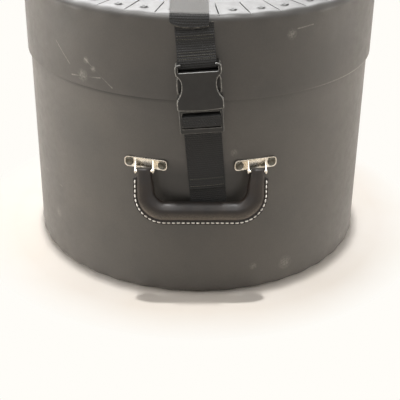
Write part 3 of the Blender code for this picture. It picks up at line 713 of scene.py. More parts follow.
def nickel_plated_steel():
    """Stamped steel, nickel plated: warm silver with a soft polish, a few dull specks and hair
    scratches from use."""
    nickel = bpy.context.scene.case_handle.nickel[:]
    material, add = start_material("nickel_plated_steel")
    coords = add("TexCoord", output="Object")
    tone = mottled_tone(add, coords, nickel, linear("#c4b89f"), 3, 4, 0.7, 0.52, 0.72)
    gloss = mottle(add, coords, 1.5, 3, 0.5, 0.3, 0.7, 0.20, 0.34)
    hairs = add("Mapping", coords, sockets={"Scale": (60, 60, 2500)})
    scratched = add("Bump", sockets={"Height": add("TexNoise", hairs, None, 1.0),
                                     "Distance": 0.0000015})
    end_material(add, Base_Color=tone, Metallic=1.0, Roughness=gloss, Normal=scratched)
    return material


def blackened_steel():
    """Steel rivets, blackened and dulled: dark brown-grey metal, a little brighter where rubbed."""
    tones = bpy.context.scene.case_handle.dark_steel[:], linear("#6e6a60")
    return mottled_material("blackened_steel", tones, (2, 4, 0.7, 0.40, 0.65),
                            (1.2, 3, 0.5, 0.3, 0.7, 0.32, 0.50), Metallic=1.0)


def japanned_steel():
    """Steel rivets under baked black lacquer: the gloss is a little livelier than the fibre's,
    with dull specks where the lacquer is rubbed."""
    tones = linear("#2a2824"), linear("#57524a")
    return mottled_material("japanned_steel", tones, (1.6, 4, 0.7, 0.55, 0.75),
                            (1.2, 3, 0.5, 0.3, 0.7, 0.34, 0.48), IOR=1.58)


def chipboard_pressed():
    """Pressed fibre filling of the grip: brown, with pale and dark fibres."""
    material, add = start_material("chipboard_pressed")
    fibres = mottle(add, add("TexCoord", output="Object"), 1.5, 4, 0.8, 0.35, 0.65)
    tone = add("Mix", fibres, output=2, data_type="RGBA",
               sockets={6: linear("#5c452e"), 7: linear("#85684a")})
    grain = add("Bump", sockets={"Height": fibres, "Distance": 0.0001})
    end_material(add, Base_Color=tone, Roughness=0.85, Normal=grain)
    return material


# Fibre shells


def wall_profile(radius, edge_z, face_z):
    """Rows of (radius, height, slit opening, scallop), from the plain edge up the wall, round the
    fold and in along the tab."""
    way = 1 if face_z > edge_z else -1
    turn_z = face_z - way * FOLD_RADIUS
    wall = abs(turn_z - edge_z)
    rows = []
    for away in (0, 0.002, 0.006, 0.018):
        rows.append((radius, edge_z + way * away, 0, 0))
    for i in range(1, 9):
        away = 0.018 + (wall - 0.030) * i / 8
        rows.append((radius, edge_z + way * away, 0, 0))
    for share in (0.33, 0.67):
        rows.append((radius, edge_z + way * (wall - 0.012 * (1 - share)), 0, share * share))
    steps = 8
    for i in range(steps + 1):
        turn = math.pi / 2 * i / steps
        rows.append((radius - FOLD_RADIUS * (1 - math.cos(turn)),
                     turn_z + way * FOLD_RADIUS * math.sin(turn), 0, 1))
    tab = TAB_REACH - FOLD_RADIUS
    for reach in (0.0012, 0.004, 0.009, 0.015, 0.022, 0.030, 0.0365, tab - 0.0015, tab):
        rows.append((radius - FOLD_RADIUS - reach, face_z, min(1, reach / 0.004),
                     1 - ease(0, TAB_HELD, reach)))
    return rows


def tab_shell(name, radius, edge_z, face_z, seed):
    """One tab with its strip of wall, spun round the case, then given its thickness."""
    settings = bpy.context.scene.case_fibre
    pitch = 2 * math.pi / settings.tabs
    rows = wall_profile(radius, edge_z, face_z)
    way = 1 if face_z > edge_z else -1
    shares = [-1, -0.93, -0.66, -0.33, 0, 0.33, 0.66, 0.93, 1]
    last = len(rows) - 1

    def place(share, j):
        r, z, opening, proud = rows[j]
        half = pitch / 2 - opening * settings.slit / 2 / r
        if j == last:
            half -= 0.0014 / r
        rise = settings.scallop * proud * (0.5 + 0.5 * math.cos(math.pi * share))
        out = min(1, max(0, (r - (radius - FOLD_RADIUS)) / FOLD_RADIUS))
        lift = math.sqrt(1 - out * out)
        return around(r + rise * out, share * half, z + way * rise * lift)

    obj = lay_grid(name, shares, list(range(len(rows))), place)
    edit(obj)
    bpy.ops.mesh.spin(steps=settings.tabs - 1, dupli=True, angle=2 * math.pi - pitch,
                      center=(0, 0, 0), axis=(0, 0, 1))
    bpy.ops.mesh.select_all(action="SELECT")
    bpy.ops.mesh.remove_doubles(threshold=2e-5)
    leave_edit()
    face_outwards(obj)
    dice = random.Random(seed)
    curls = [(dice.uniform(0, 0.0007), dice.uniform(-0.0003, 0.0003)) for _ in range(settings.tabs)]
    for vertex in obj.data.vertices:
        reach = radius - FOLD_RADIUS - math.hypot(vertex.co.x, vertex.co.y)
        if reach > TAB_HELD:
            turn = math.atan2(vertex.co.x, -vertex.co.y) / pitch
            tab = round(turn)
            curl, skew = curls[tab % settings.tabs]
            free = (reach - TAB_HELD) / (TAB_REACH - FOLD_RADIUS - TAB_HELD)
            lift = curl * free ** 1.5 + abs(skew) + skew * 2 * (turn - tab)
            vertex.co.z += way * lift * min(1, free * 2)
    modify(obj, "SOLIDIFY", thickness=settings.thickness, offset=-1, use_even_offset=True)
    round_edges(obj, 0.0003, 2, 50)
    return smooth(obj, 30)


def end_panel(name, radius, low, high):
    """A flat disc with a softly rounded rim, laid in the end of a shell."""
    soft = 0.0006
    rim = radius - FOLD_RADIUS - GAP
    rings = (0, 0.05, 0.10, 0.15, rim - soft)
    profile = [(r, low) for r in rings] + [(rim, low + soft), (rim, high - soft)]
    profile += [(r, high) for r in reversed(rings)]
    return smooth(turned(name, profile, 96), 30)


def tab_heads(name, radius, face_z, seed):
    """Domed rivet heads round a shell, one a tab, each a little off its place."""
    settings = bpy.context.scene.case_fibre
    pitch = 2 * math.pi / settings.tabs
    way = 1 if face_z > 0 else -1
    head = turned(name + "_one", [(0, 0.0009), (0.0012, 0.0010), (0.0022, 0.0014),
                                  (0.0031, 0.0012), (0.0038, 0.0005), (0.0041, 0.0001),
                                  (0.0045, 0.0003), (0.0050, 0.0003), (0.0053, 0.0000),
                                  (0.0053, -0.0004), (0.0044, -0.0010), (0, -0.0010)], 20)
    dice = random.Random(seed)
    places = []
    for k in range(settings.tabs):
        azimuth = k * pitch + dice.uniform(-0.0016, 0.0016) / radius
        spot = around(radius - RIVET_INSET + dice.uniform(-0.0012, 0.0012), azimuth, face_z)
        turn = Matrix.Rotation(0 if way > 0 else math.pi, 4, "X")
        places.append(Matrix.Translation(spot) @ turn)
    return smooth(copies(head, places, name), 60)


def seam_strip(name, low_radius, high_radius, low, high):
    """The lapped end of the sheet, which shows as a raised upright strip."""
    angles = [SEAM_AZIMUTH + SEAM_HALF * (i / 4 - 1) for i in range(9)]
    heights = [low + (high - low) * j / 8 for j in range(9)]
    obj = lay_grid(name, angles, heights, lambda a, j: around(high_radius, a, heights[j]))
    edit(obj)
    bpy.ops.mesh.normals_make_consistent(inside=False)
    leave_edit()
    face_outwards(obj)
    modify(obj, "SOLIDIFY", thickness=high_radius - low_radius, offset=-1, use_even_offset=True)
    round_edges(obj, 0.0006, 2, 50)
    return smooth(obj, 30)


class MakeShells(bpy.types.Operator):
    """Makes the walls of the lid and the base with their folded tabs"""
    bl_idname = "drum_case.shells"
    bl_label = "Fibre shells"

    def execute(self, context):
        fibre = vulcanised_fibre_calendered()
        for body, radius, edge_z, face_z, seed in (
                ("lid", LID_RADIUS, LID_EDGE, LID_FACE, 11),
                ("base", BASE_RADIUS, BASE_RIM, BASE_FACE, 23)):
            wall = tab_shell(body + "_wall", radius, edge_z, face_z, seed)
            hand_over(wall, body, "fibre", fibre, body + "_shell")
        return {"FINISHED"}


class MakePanels(bpy.types.Operator):
    """Makes the flat panels of both ends and the lapped seams of the walls"""
    bl_idname = "drum_case.panels"
    bl_label = "End panels and seams"

    def execute(self, context):
        fibre = vulcanised_fibre_calendered()
        thickness = context.scene.case_fibre.thickness
        top = LID_FACE - thickness - GAP
        for body, radius, low in (("lid", LID_RADIUS, top - thickness), ("base", BASE_RADIUS, 0)):
            panel = end_panel(body + "_panel", radius, low, low + thickness)
            hand_over(panel, body, "fibre", fibre, body + "_disc")
        inner = BASE_RADIUS - thickness
        for body, *sizes in (
                ("lid", LID_RADIUS + SEAM_GAP, LID_RADIUS + thickness, LID_EDGE,
                 LID_FACE - FOLD_RADIUS),
                ("base", inner - thickness, inner - SEAM_GAP, 2 * thickness, BASE_RIM)):
            hand_over(seam_strip(body + "_seam", *sizes), body, "fibre", fibre)
        return {"FINISHED"}


class MakeTabRivets(bpy.types.Operator):
    """Makes the domed rivets that hold the tabs"""
    bl_idname = "drum_case.tab_rivets"
    bl_label = "Tab rivets"

    def execute(self, context):
        steel = japanned_steel()
        for body, radius, face_z, seed in (("lid", LID_RADIUS, LID_FACE, 5),
                                           ("base", BASE_RADIUS, BASE_FACE, 7)):
            heads = tab_heads(body + "_tab_rivets", radius, face_z, seed)
            hand_over(heads, body, "rivet_steel", steel)
        return {"FINISHED"}


# Webbing, in the buckle's frame: u to the right, v up, w out of the lid's wall


def buckle_place(u, v, w):
    x = BUCKLE_X + u * math.cos(BUCKLE_LEAN) - v * math.sin(BUCKLE_LEAN)
    z = MOUTH_HEIGHT + u * math.sin(BUCKLE_LEAN) + v * math.cos(BUCKLE_LEAN)
    return Vector((x, -LID_RADIUS - w, z))


def wrap_place(u, v, w):
    """For webbing: bent across its width on the case, and flat where it goes over a bar."""
    place = buckle_place(u, v, w)
    bent = min(1, max(0, (BAR_HIGH - w) / (BAR_HIGH - BAR_LOW)))
    place.y += bent * (LID_RADIUS - math.sqrt(LID_RADIUS ** 2 - place.x ** 2))
    return place


def buckle_frame():
    run = Vector((math.cos(HALVES_LEAN), 0, math.sin(HALVES_LEAN)))
    return frame_of(buckle_place(0, 0, 0), run, Vector((-run.z, 0, run.x)), -Y_AXIS)


def lean_v(z):
    return (z - MOUTH_HEIGHT) / math.cos(BUCKLE_LEAN)


def arc(centre_v, centre_w, radius, start, end, steps=8):
    points = []
    for i in range(steps + 1):
        angle = start + (end - start) * i / steps
        points.append((centre_v + radius * math.cos(angle), centre_w + radius * math.sin(angle)))
    return points


def eased_path(points, radius, step=0.0025):
    """A path through the points, with its corners rounded and its long stretches cut in steps."""
    points = [Vector(p) for p in points]
    soft = [points[0]]
    for before, corner, after in zip(points, points[1:], points[2:]):
        reach = min(radius, 0.45 * (corner - before).length, 0.45 * (after - corner).length)
        start = corner + (before - corner).normalized() * reach
        end = corner + (after - corner).normalized() * reach
        for t in (0, 0.25, 0.5, 0.75, 1):
            soft.append(start.lerp(corner, t).lerp(corner.lerp(end, t), t))
    soft.append(points[-1])
    path = [soft[0]]
    for one, two in zip(soft, soft[1:]):
        count = max(1, math.ceil((two - one).length / step))
        for i in range(1, count + 1):
            path.append(one.lerp(two, i / count))
    return path


def webbing(name, path, place, cells=12):
    """Flat webbing along a path of (a, b) points that place(u, a, b) puts in the world."""
    settings = bpy.context.scene.case_webbing
    along = [0.0]
    for one, two in zip(path, path[1:]):
        along.append(along[-1] + (two - one).length)
    half = settings.width / 2
    across = [-half, -half + 0.0008]
    across += [settings.width * (k / cells - 0.5) for k in range(1, cells)]
    across += [half - 0.0008, half]
    obj = lay_grid(name, across, along, lambda u, j: place(u, *path[j]))
    modify(obj, "SOLIDIFY", thickness=settings.thickness, offset=0, use_even_offset=True)
    round_edges(obj, 0.0003, 2, 60)
    return smooth(obj, 50)


def over_strap_path():
    settings = bpy.context.scene.case_webbing
    half = settings.thickness / 2
    wall_y = LID_RADIUS + GAP + half
    front_y = wall_y + settings.thickness + GAP
    flat_z = LID_FACE + 0.0012 + GAP + half
    turn_z = flat_z - FOLD_RADIUS
    base_y = BASE_RADIUS + GAP + half
    step = LID_RADIUS - BASE_RADIUS
    path = [(-front_y, STRAP_END)]
    path += arc(FOLD_RADIUS - front_y, turn_z, FOLD_RADIUS, math.pi, math.pi / 2)
    path += arc(wall_y - FOLD_RADIUS, turn_z, FOLD_RADIUS, math.pi / 2, 0)
    path += [(wall_y, LID_EDGE), (base_y, LID_EDGE - 2 * step),
             (base_y, BACK_ANCHOR - ANCHOR_TO_END)]
    return eased_path(path, 0.0025), wall_y


class MakeOverStrap(bpy.types.Operator):
    """Makes the strap over the top, with its back leg down to the base"""
    bl_idname = "drum_case.over_strap"
    bl_label = "Strap over the top"

    def execute(self, context):
        path, wall_y = over_strap_path()
        half = context.scene.case_webbing.width / 2

        def place(u, y, z):
            if y < 0:
                frayed = ease(STRAP_END + 0.007, STRAP_END, z)
                left = max(0, -u / half)
                right = max(0, u / half)
                z += frayed * (0.0048 * left ** 3 + 0.0022 * right ** 2 - 0.0010)
                y -= frayed * (0.0006 + 0.0012 * left)
            x = STRAP_X + u
            inset = wall_y - math.sqrt(wall_y ** 2 - x ** 2)
            share = min(1, abs(y) / wall_y)
            return Vector((x, y - math.copysign(inset * share ** 3, y), z))

        strap = webbing("over_strap", path, place)
        # The upward share of each normal marks the strap's flat top, painted paler as dust and as a
        # painted sheen.
        dust_and_painted_sheen = strap.data.attributes.new("dust_and_painted_sheen", "FLOAT", "POINT")
        for vertex, spot in zip(strap.data.vertices, dust_and_painted_sheen.data):
            spot.value = max(0, vertex.normal.z) ** 12
        hand_over(strap, None, "webbing", webbing_woven(), "strap_top", "strap_back")
        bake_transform(strap)
        return {"FINISHED"}


def loop_front(v):
    """How far out the middle of the loop's front leg lies."""
    lap_w = 2 * GAP + 1.5 * bpy.context.scene.case_webbing.thickness
    rise = lean_v(LEG_END) - 0.008
    high_w = BAR_HIGH + GAP + bpy.context.scene.case_webbing.thickness / 2
    foot = SOCKET_END + GAP
    return lap_w + (high_w - lap_w) * min(1, max(0, (rise - v) / (rise - foot)))


class MakeStrapThread(bpy.types.Operator):
    """Makes the rows of black thread that sew the webbing"""
    bl_idname = "drum_case.strap_thread"
    bl_label = "Thread in the straps"

    def execute(self, context):
        half = context.scene.case_webbing.thickness / 2
        heights = [lean_v(z) for z in (0.2745, 0.2775, 0.2805, 0.293, 0.2962)]
        loop = [(v, loop_front(v) + half) for v in heights]
        self.rows("loop_thread", loop, "lid")
        tail = lean_v(TAIL_END)
        on_tail = BASE_RADIUS - LID_RADIUS + 2 * GAP + 4 * half
        self.rows("tail_thread", [(tail + 0.0035, on_tail + 0.0005), (tail + 0.0115, on_tail)],
                  "base")
        return {"FINISHED"}

    def rows(self, name, lines, body):
        """One stitch copied along each line, which is a height v and a depth w."""
        places = []
        dice = random.Random(name)
        for v, w in lines:
            for i in range(-8, 9):
                u = i * 0.0021 + dice.uniform(-0.0002, 0.0002)
                spot = wrap_place(u, v, w)
                run = (wrap_place(u + 0.001, v, w) - spot).normalized()
                up = (wrap_place(u, v + 0.001, w) - spot).normalized()
                places.append(frame_of(spot, run, up, run.cross(up)))
        stitch = bead(lambda x, y, z: (x * 0.00085, y * 0.00036, z * 0.00032))
        thread = smooth(copies(stitch, places, name), 80)
        hand_over(thread, body, "webbing", thread_black())


class MakeBuckleLoop(bpy.types.Operator):
    """Makes the webbing folded round the socket's bar and sewn under the strap over the top"""
    bl_idname = "drum_case.buckle_loop"
    bl_label = "Buckle loop"

    def execute(self, context):
        half = context.scene.case_webbing.thickness / 2
        on_lid = GAP + half
        high_w = BAR_HIGH + GAP + half
        low_w = BAR_LOW - GAP - half
        lap_w = on_lid + 2 * half + GAP
        turn_v = SOCKET_BODY + SOCKET_SLOT
        leg_end = lean_v(LEG_END)
        path = [(lean_v(LID_FACE - FOLD_RADIUS), on_lid), (leg_end + 0.0055, on_lid),
                (leg_end + 0.0015, lap_w), (leg_end - 0.008, lap_w), (SOCKET_END + GAP, high_w)]
        path += arc(turn_v + half, (high_w + low_w) / 2, (high_w - low_w) / 2, math.pi / 2,
                    3 * math.pi / 2)
        path += [(SOCKET_END, low_w), (leg_end, on_lid)]
        loop = webbing("strap_loop", eased_path(path, 0.0012, 0.0018), wrap_place)
        hand_over(loop, "lid", "webbing", webbing_woven(), "buckle_loop")
        return {"FINISHED"}


class MakeLowerStrap(bpy.types.Operator):
    """Makes the lower strap, threaded through the plug's ladder, with its free tail"""
    bl_idname = "drum_case.lower_strap"
    bl_label = "Lower strap"

    def execute(self, context):
        half = context.scene.case_webbing.thickness / 2
        layer = 2 * half + GAP
        on_base = BASE_RADIUS - LID_RADIUS + GAP + half
        tail_w = PLUG_LOW - GAP - half
        back_w = tail_w - layer
        front_w = PLUG_HIGH + GAP + half
        slot_v = PLUG_BAR_TOP + GAP + half
        slit_v = PLUG_BAR_END - GAP - half
        rise = PLUG_END - 0.030
        path = [(lean_v(FRONT_ANCHOR - ANCHOR_TO_END), on_base), (rise, on_base),
                (PLUG_END - layer, back_w), (slot_v - half, back_w), (slot_v, back_w + half),
                (slot_v, front_w - half), (slot_v - half, front_w), (slit_v + half, front_w),
                (slit_v, front_w - half), (slit_v, tail_w + half), (slit_v - half, tail_w),
                (PLUG_END - layer, tail_w),
                (rise, on_base + layer), (lean_v(TAIL_END) + 0.012, on_base + layer),
                (lean_v(TAIL_END), on_base + layer + 0.0006)]
        strap = webbing("lower_strap_web", eased_path(path, 0.0007, 0.0022), wrap_place)
        hand_over(strap, "base", "webbing", webbing_woven(), "lower_strap")
        return {"FINISHED"}


# Buckle

THROUGH_LOW = -0.01
THROUGH_HIGH = 0.03
BEYOND_END = 0.07


def cut(obj, half, low, high):
    """Cuts a box, as wide as twice half and from low to high in (v, w), out of a buckle half."""
    combine(obj, block((-half, *low), (half, *high)))


def socket_outline():
    """The socket's outline: a curved mouth, a waist at each side window and a squared end."""
    waist = ((0.0, 1.0), (0.16, 1.0), (0.26, 0.99), (0.31, 0.95), (0.36, 0.89), (0.41, 0.84),
             (0.47, 0.80), (0.55, 0.765), (0.63, 0.75), (0.71, 0.755), (0.78, 0.78), (0.84, 0.83),
             (0.88, 0.89), (0.92, 0.95), (0.96, 0.975), (1.0, 0.985))
    side = [(w * SOCKET_HALF, v * SOCKET_BODY) for v, w in waist]
    half = side[-1][0]
    corner = 0.0034
    side += [(half, SOCKET_END - corner), (half - 0.0010, SOCKET_END - 0.0010),
             (half - corner, SOCKET_END)]
    mouth = [(SOCKET_HALF * s, -0.0015 * (1 - s * s))
             for s in (0, 0.14, 0.28, 0.4, 0.55, 0.7, 0.85)]
    right = mouth + side
    return right + [(-u, v) for u, v in right[::-1] if u > 0]


class MakeSocket(bpy.types.Operator):
    """Makes the socket half of the side-release buckle"""
    bl_idname = "drum_case.socket"
    bl_label = "Buckle socket"

    def execute(self, context):
        edge = context.scene.case_buckle.edge
        # The second material paints a highlight on the rounded edges.
        acetal, rubbed = acetal_moulded(), acetal_painted_highlight()
        socket = outline_solid("socket_half", socket_outline(), SOCKET_LOW, SOCKET_HIGH)
        add_materials(socket, acetal, rubbed)
        round_edges(socket, edge, 3, 35, 1)
        cut(socket, SOCKET_HALF - 0.0040, (THROUGH_LOW, SOCKET_LOW + 0.0026),
            (SOCKET_BODY - 0.0030, SOCKET_HIGH - 0.0026))
        cut(socket, SLOT_HALF, (SOCKET_BODY, THROUGH_LOW),
            (SOCKET_BODY + SOCKET_SLOT, THROUGH_HIGH))
        # The lip's cut leaves a chamfer along the slot's lower edge that carries the painted
        # highlight.
        foot, crest = SOCKET_BODY + 0.0004, SOCKET_HIGH + 0.0001
        lip = outline_solid("lip", [(SOCKET_BODY - edge / 2 - 0.0001, crest),
                                    (foot, SOCKET_HIGH - edge / 2 - 0.0004), (foot, crest)],
                            -SLOT_HALF, SLOT_HALF)
        add_materials(lip, acetal, rubbed)
        for face in lip.data.polygons:
            face.material_index = 1
        combine(socket, settle(lip, frame_of(Vector(), Y_AXIS, Z_AXIS, X_AXIS)))
        past = SOCKET_BODY + 0.001
        cut(socket, SLOT_HALF, (past, THROUGH_LOW), (BEYOND_END, BAR_LOW))
        cut(socket, SLOT_HALF, (past, BAR_HIGH), (SOCKET_END - 0.0024, THROUGH_HIGH))
        cut(socket, SLOT_HALF - 0.0026, (past, BAR_HIGH), (BEYOND_END, THROUGH_HIGH))
        cut(socket, SLOT_HALF, (past, BAR_HIGH), (BEYOND_END, 0.0098))
        # The hooks' edges by the slot are rounded with the painted highlight too.
        top = SOCKET_HIGH - 0.00005
        round_some(socket, lambda a, b: min(a.z, b.z) > top and min(a.y, b.y) > SOCKET_BODY
                   and max(abs(abs(p.x) - SLOT_HALF) for p in (a, b)) < 0.00005, edge * 0.5, 1)
        settle(smooth(socket, 40), buckle_frame())
        hand_over(socket, "lid", "moulded_buckle", acetal, "buckle_socket", edges=rubbed)
        return {"FINISHED"}


class MakePlug(bpy.types.Operator):
    """Makes the plug half of the buckle: its ladder, its tongue and its two springy prongs"""
    bl_idname = "drum_case.plug"
    bl_label = "Buckle plug and prongs"

    def execute(self, context):
        edge = context.scene.case_buckle.edge
        # The second material paints a highlight on the rounded edges.
        acetal, rubbed = acetal_moulded(), acetal_painted_highlight()
        half = PLUG_HALF
        right = [(half - 0.0020, PLUG_END), (half - 0.0006, PLUG_END + 0.0006),
                 (half, PLUG_END + 0.0020), (half, -0.0012), (0.0070, -0.0012), (0.0046, 0.024)]
        outline = right + [(-u, v) for u, v in right[::-1]]
        plug = outline_solid("plug_half", outline, PLUG_LOW, PLUG_HIGH)
        cut(plug, SLOT_HALF, (PLUG_BAR_TOP, THROUGH_LOW), (PLUG_CROSS, THROUGH_HIGH))
        cut(plug, SLOT_HALF, (PLUG_SLIT_END, THROUGH_LOW), (PLUG_BAR_END, THROUGH_HIGH))
        add_materials(plug, acetal, rubbed)
        round_edges(plug, edge, 3, 35, 1)
        settle(smooth(plug, 40), buckle_frame())
        hand_over(plug, "base", "moulded_buckle", acetal, "buckle_plug", edges=rubbed)
        for side, word in ((-1, "left"), (1, "right")):
            prong = settle(self.prong(side, edge, acetal, rubbed), buckle_frame())
            hand_over(named(prong, "prong_" + word), "prong_" + word, "moulded_buckle", acetal,
                      "buckle_prong_" + word, edges=rubbed)
        return {"FINISHED"}

    def prong(self, side, edge, *materials):
        """A thin arm that swells to a thumb button with a raised outer rib."""
        centre, arm, button, reach, base = 0.0167, 0.0020, 0.0034, 0.0366, -0.0009
        edge_u = centre + arm

        def solid(name, points, low, high):
            return outline_solid(name, [(side * u, base + reach * v) for u, v in points], low, high)

        def thumb(*points):
            return [(edge_u + button * out, v) for out, v in points]

        crown = thumb((0.45, 0.475), (0.80, 0.485), (1.02, 0.52), (1.05, 0.58), (1.05, 0.86),
                      (0.95, 0.93), (0.60, 0.975))
        outer = [(centre + arm * 0.2, 0.0), (edge_u - 0.001, 0.06), (edge_u, 0.10),
                 (edge_u, 0.455), *crown, *thumb((0.20, 0.985))]
        inner = [(centre - arm * 0.6, 1.0), (centre - arm, 0.78), (centre - arm, 0.07),
                 (centre - arm * 0.2, 0.0)]
        rib = crown + thumb((0.35, 0.965), (0.62, 0.88), (0.72, 0.72), (0.66, 0.58))
        low = PLUG_LOW + 0.0002
        obj = solid("prong", outer + inner, low, low + 0.0036)
        combine(obj, solid("prong_rib", rib, low + 0.001, low + 0.0078), "UNION")
        obj.data.materials.clear()
        add_materials(obj, *materials)
        # The rounded edges and the rib's top get the painted highlight.
        round_edges(obj, edge * 0.7, 2, 35, 1)
        for face in obj.data.polygons:
            if face.center.z > low + 0.0070:
                face.material_index = 1
        return smooth(obj, 40)


# Handle


def handle_place(x, drop, out):
    y = PIN_Y - drop * math.sin(HANDLE_LEAN) - out * math.cos(HANDLE_LEAN)
    z = PIN_HEIGHT - drop * math.cos(HANDLE_LEAN) + out * math.sin(HANDLE_LEAN)
    return Vector((x, y, z))


def handle_stations():
    """Rows of (x, drop, outward direction, fullness), from the left arm's top to the right's."""
    corner_drop = HANDLE_DROP - HANDLE_CORNER
    corner_x = EAR_X - HANDLE_CORNER
    left = [(-0.0034, 0.40), (-0.0033, 0.62), (-0.0029, 0.80), (-0.0021, 0.93), (-0.0010, 1),
            (0.0015, 1), (0.0048, 1), (0.0056, 1), (0.0064, 1), (0.0072, 1), (0.0080, 1),
            (0.0100, 1), (0.0130, 1), (0.0160, 1), (0.0190, 1), (corner_drop, 1)]
    half = [(-EAR_X, drop, (-1, 0), full) for drop, full in left]
    for i in range(1, 15):
        angle = math.pi / 2 * i / 14
        half.append((-corner_x - HANDLE_CORNER * math.cos(angle),
                     corner_drop + HANDLE_CORNER * math.sin(angle),
                     (-math.cos(angle), math.sin(angle)), 1))
    grip = [(x, HANDLE_DROP, (0, 1), 1) for x in (-0.030, -0.020, -0.010, 0, 0.010, 0.020, 0.030)]
    other = [(-x, drop, (-ox, od), full) for x, drop, (ox, od), full in half[::-1]]
    return half + grip + other


def handle_section(drop, direction):
    """Half width, half thickness and flange reach of the handle at a station."""
    turned_share = abs(direction[1])
    half_width = (0.0158 + 0.0032 * turned_share) / 2
    half_thick = (0.0104 + 0.0026 * ease(0, 0.015, drop)) / 2
    flange = (FLANGE_REACH + 0.0015 * turned_share) * ease(0.0050, 0.0078, drop)
    return half_width, half_thick, flange


GRIP_SECTION = (
    (0.93, 0.45), (0.82, 0.66), (0.66, 0.80), (0.44, 0.91), (0.20, 0.975), (0.0, 1.0),
    (-0.16, 1.0), (-0.24, 0.985), (-0.30, 0.95), (-0.38, 0.88), (-0.52, 0.77), (-0.66, 0.63),
    (-0.79, 0.46), (-0.89, 0.25), (-0.96, 0.0), (-1.0, -0.28), (-0.98, -0.56), (-0.90, -0.78),
    (-0.74, -0.93), (-0.48, -1.0), (-0.10, -1.0), (0.30, -0.97), (0.62, -0.86), (0.82, -0.68),
    (0.93, -0.45),
)


def section_points(half_width, half_thick, flange):
    """One closed section of (along, out) points: padded body, crease, and stitched flange."""
    lip = 0.0014
    tip = half_width + flange
    crease = half_width + 0.0004
    flanged = [(tip, 0.0006), (tip - 0.0004, lip - 0.0001), (tip - 0.0010, lip),
               ((tip + crease) / 2, lip + 0.0001), (crease, lip - 0.0002)]
    share = min(1, flange / FLANGE_REACH)
    front = []
    for i, (along, out) in enumerate(flanged):
        angle = math.radians(3 + 4 * i)
        plain = Vector((half_width * math.cos(angle), half_thick * math.sin(angle)))
        front.append(tuple(plain.lerp(Vector((along, out)), share)))
    body = [(half_width * along, half_thick * out) for along, out in GRIP_SECTION]
    back = [(along, -out) for along, out in front[::-1]]
    return front + body + back


class MakeHandle(bpy.types.Operator):
    """Makes the leather handle, and gives the filling of its grip its material"""
    bl_idname = "drum_case.handle"
    bl_label = "Leather handle"

    def execute(self, context):
        stations = handle_stations()
        count = len(section_points(1, 1, 1))
        rings = []
        for x, drop, direction, full in stations:
            half_width, half_thick, flange = handle_section(drop, direction)
            wide = half_width * (0.94 + 0.06 * full)
            ring = section_points(wide, half_thick * full, flange)
            swell = 1 + 0.32 * ease(0, 0.022, drop) * abs(direction[0])
            ring = [(a * swell if a < 0 else a, out) for a, out in ring]
            rings.append([handle_place(x + direction[0] * a, drop + direction[1] * a, out)
                          for a, out in ring])
        cover = lay_grid("handle_leather", list(range(count + 1)), list(range(len(stations))),
                         lambda k, j: rings[j][k % count])
        edit(cover)
        bpy.ops.mesh.remove_doubles(threshold=1e-6)
        bpy.ops.mesh.fill_holes(sides=0)
        bpy.ops.mesh.select_all(action="SELECT")
        bpy.ops.mesh.normals_make_consistent(inside=False)
        leave_edit()
        for side in (-1, 1):
            clear_selection()
            bpy.ops.mesh.primitive_cylinder_add(vertices=24, radius=0.0022, depth=0.024,
                                                location=(side * EAR_X, PIN_Y, PIN_HEIGHT),
                                                rotation=(0, math.pi / 2, 0))
            combine(cover, bpy.context.object)
        smooth(cover, 50)
        hand_over(cover, "handle", "handle_leather", cowhide_waxed(), "handle_cover")
        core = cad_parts["handle_core"]
        for slot in core.material_slots:
            slot.material = chipboard_pressed()
        return {"FINISHED"}


class MakeStitches(bpy.types.Operator):
    """Makes the rows of thread along the handle's flange"""
    bl_idname = "drum_case.stitches"
    bl_label = "Handle stitches"

    def execute(self, context):
        settings = context.scene.case_handle
        thread = thread_waxed()
        for word, face in (("front", 1), ("back", -1)):
            row = self.row(settings, face)
            hand_over(named(row, "handle_stitches_" + word), "handle", "handle_leather", thread)
        return {"FINISHED"}

    def row(self, settings, face):
        places = []
        lengths = [0.0]
        outer = []
        for x, drop, direction, _ in handle_stations():
            half_width, _, flange = handle_section(drop, direction)
            if flange < 0.0035:
                continue
            offset = half_width + 0.45 * flange + 0.0007 * abs(direction[1])
            outer.append(Vector((x + direction[0] * offset, drop + direction[1] * offset)))
        for one, two in zip(outer, outer[1:]):
            lengths.append(lengths[-1] + (two - one).length)
        count = int((lengths[-1] - settings.stitch) / settings.pitch) + 1
        margin = (lengths[-1] - (count - 1) * settings.pitch) / 2
        for i in range(count):
            at = margin + i * settings.pitch
            k = max(j for j in range(len(lengths) - 1) if lengths[j] <= at)
            share = (at - lengths[k]) / (lengths[k + 1] - lengths[k])
            spot = outer[k].lerp(outer[k + 1], share)
            run = (outer[k + 1] - outer[k]).normalized()
            along = handle_place(run.x, run.y, 0) - handle_place(0, 0, 0)
            out = (handle_place(0, 0, 1) - handle_place(0, 0, 0)) * face
            seat = handle_place(spot.x, spot.y, face * 0.00165)
            places.append(frame_of(seat, along, out.cross(along), out))

        def pulled(x, y, z):
            swell = 1 - 0.25 * abs(x)
            x = math.copysign(abs(x) ** 0.7, x)
            return (x * settings.stitch / 2, y * 0.00085 * swell,
                    z * 0.00090 * swell - 0.0002 * x ** 2)

        return smooth(copies(bead(pulled), places, "stitches"), 80)


def plate_frame(side):
    azimuth = side * PLATE_AZIMUTH
    return frame_of(around(BASE_RADIUS + GAP, azimuth, PLATE_HEIGHT),
                    Vector((math.cos(azimuth), math.sin(azimuth), 0)), Z_AXIS,
                    around(1, azimuth, 0))


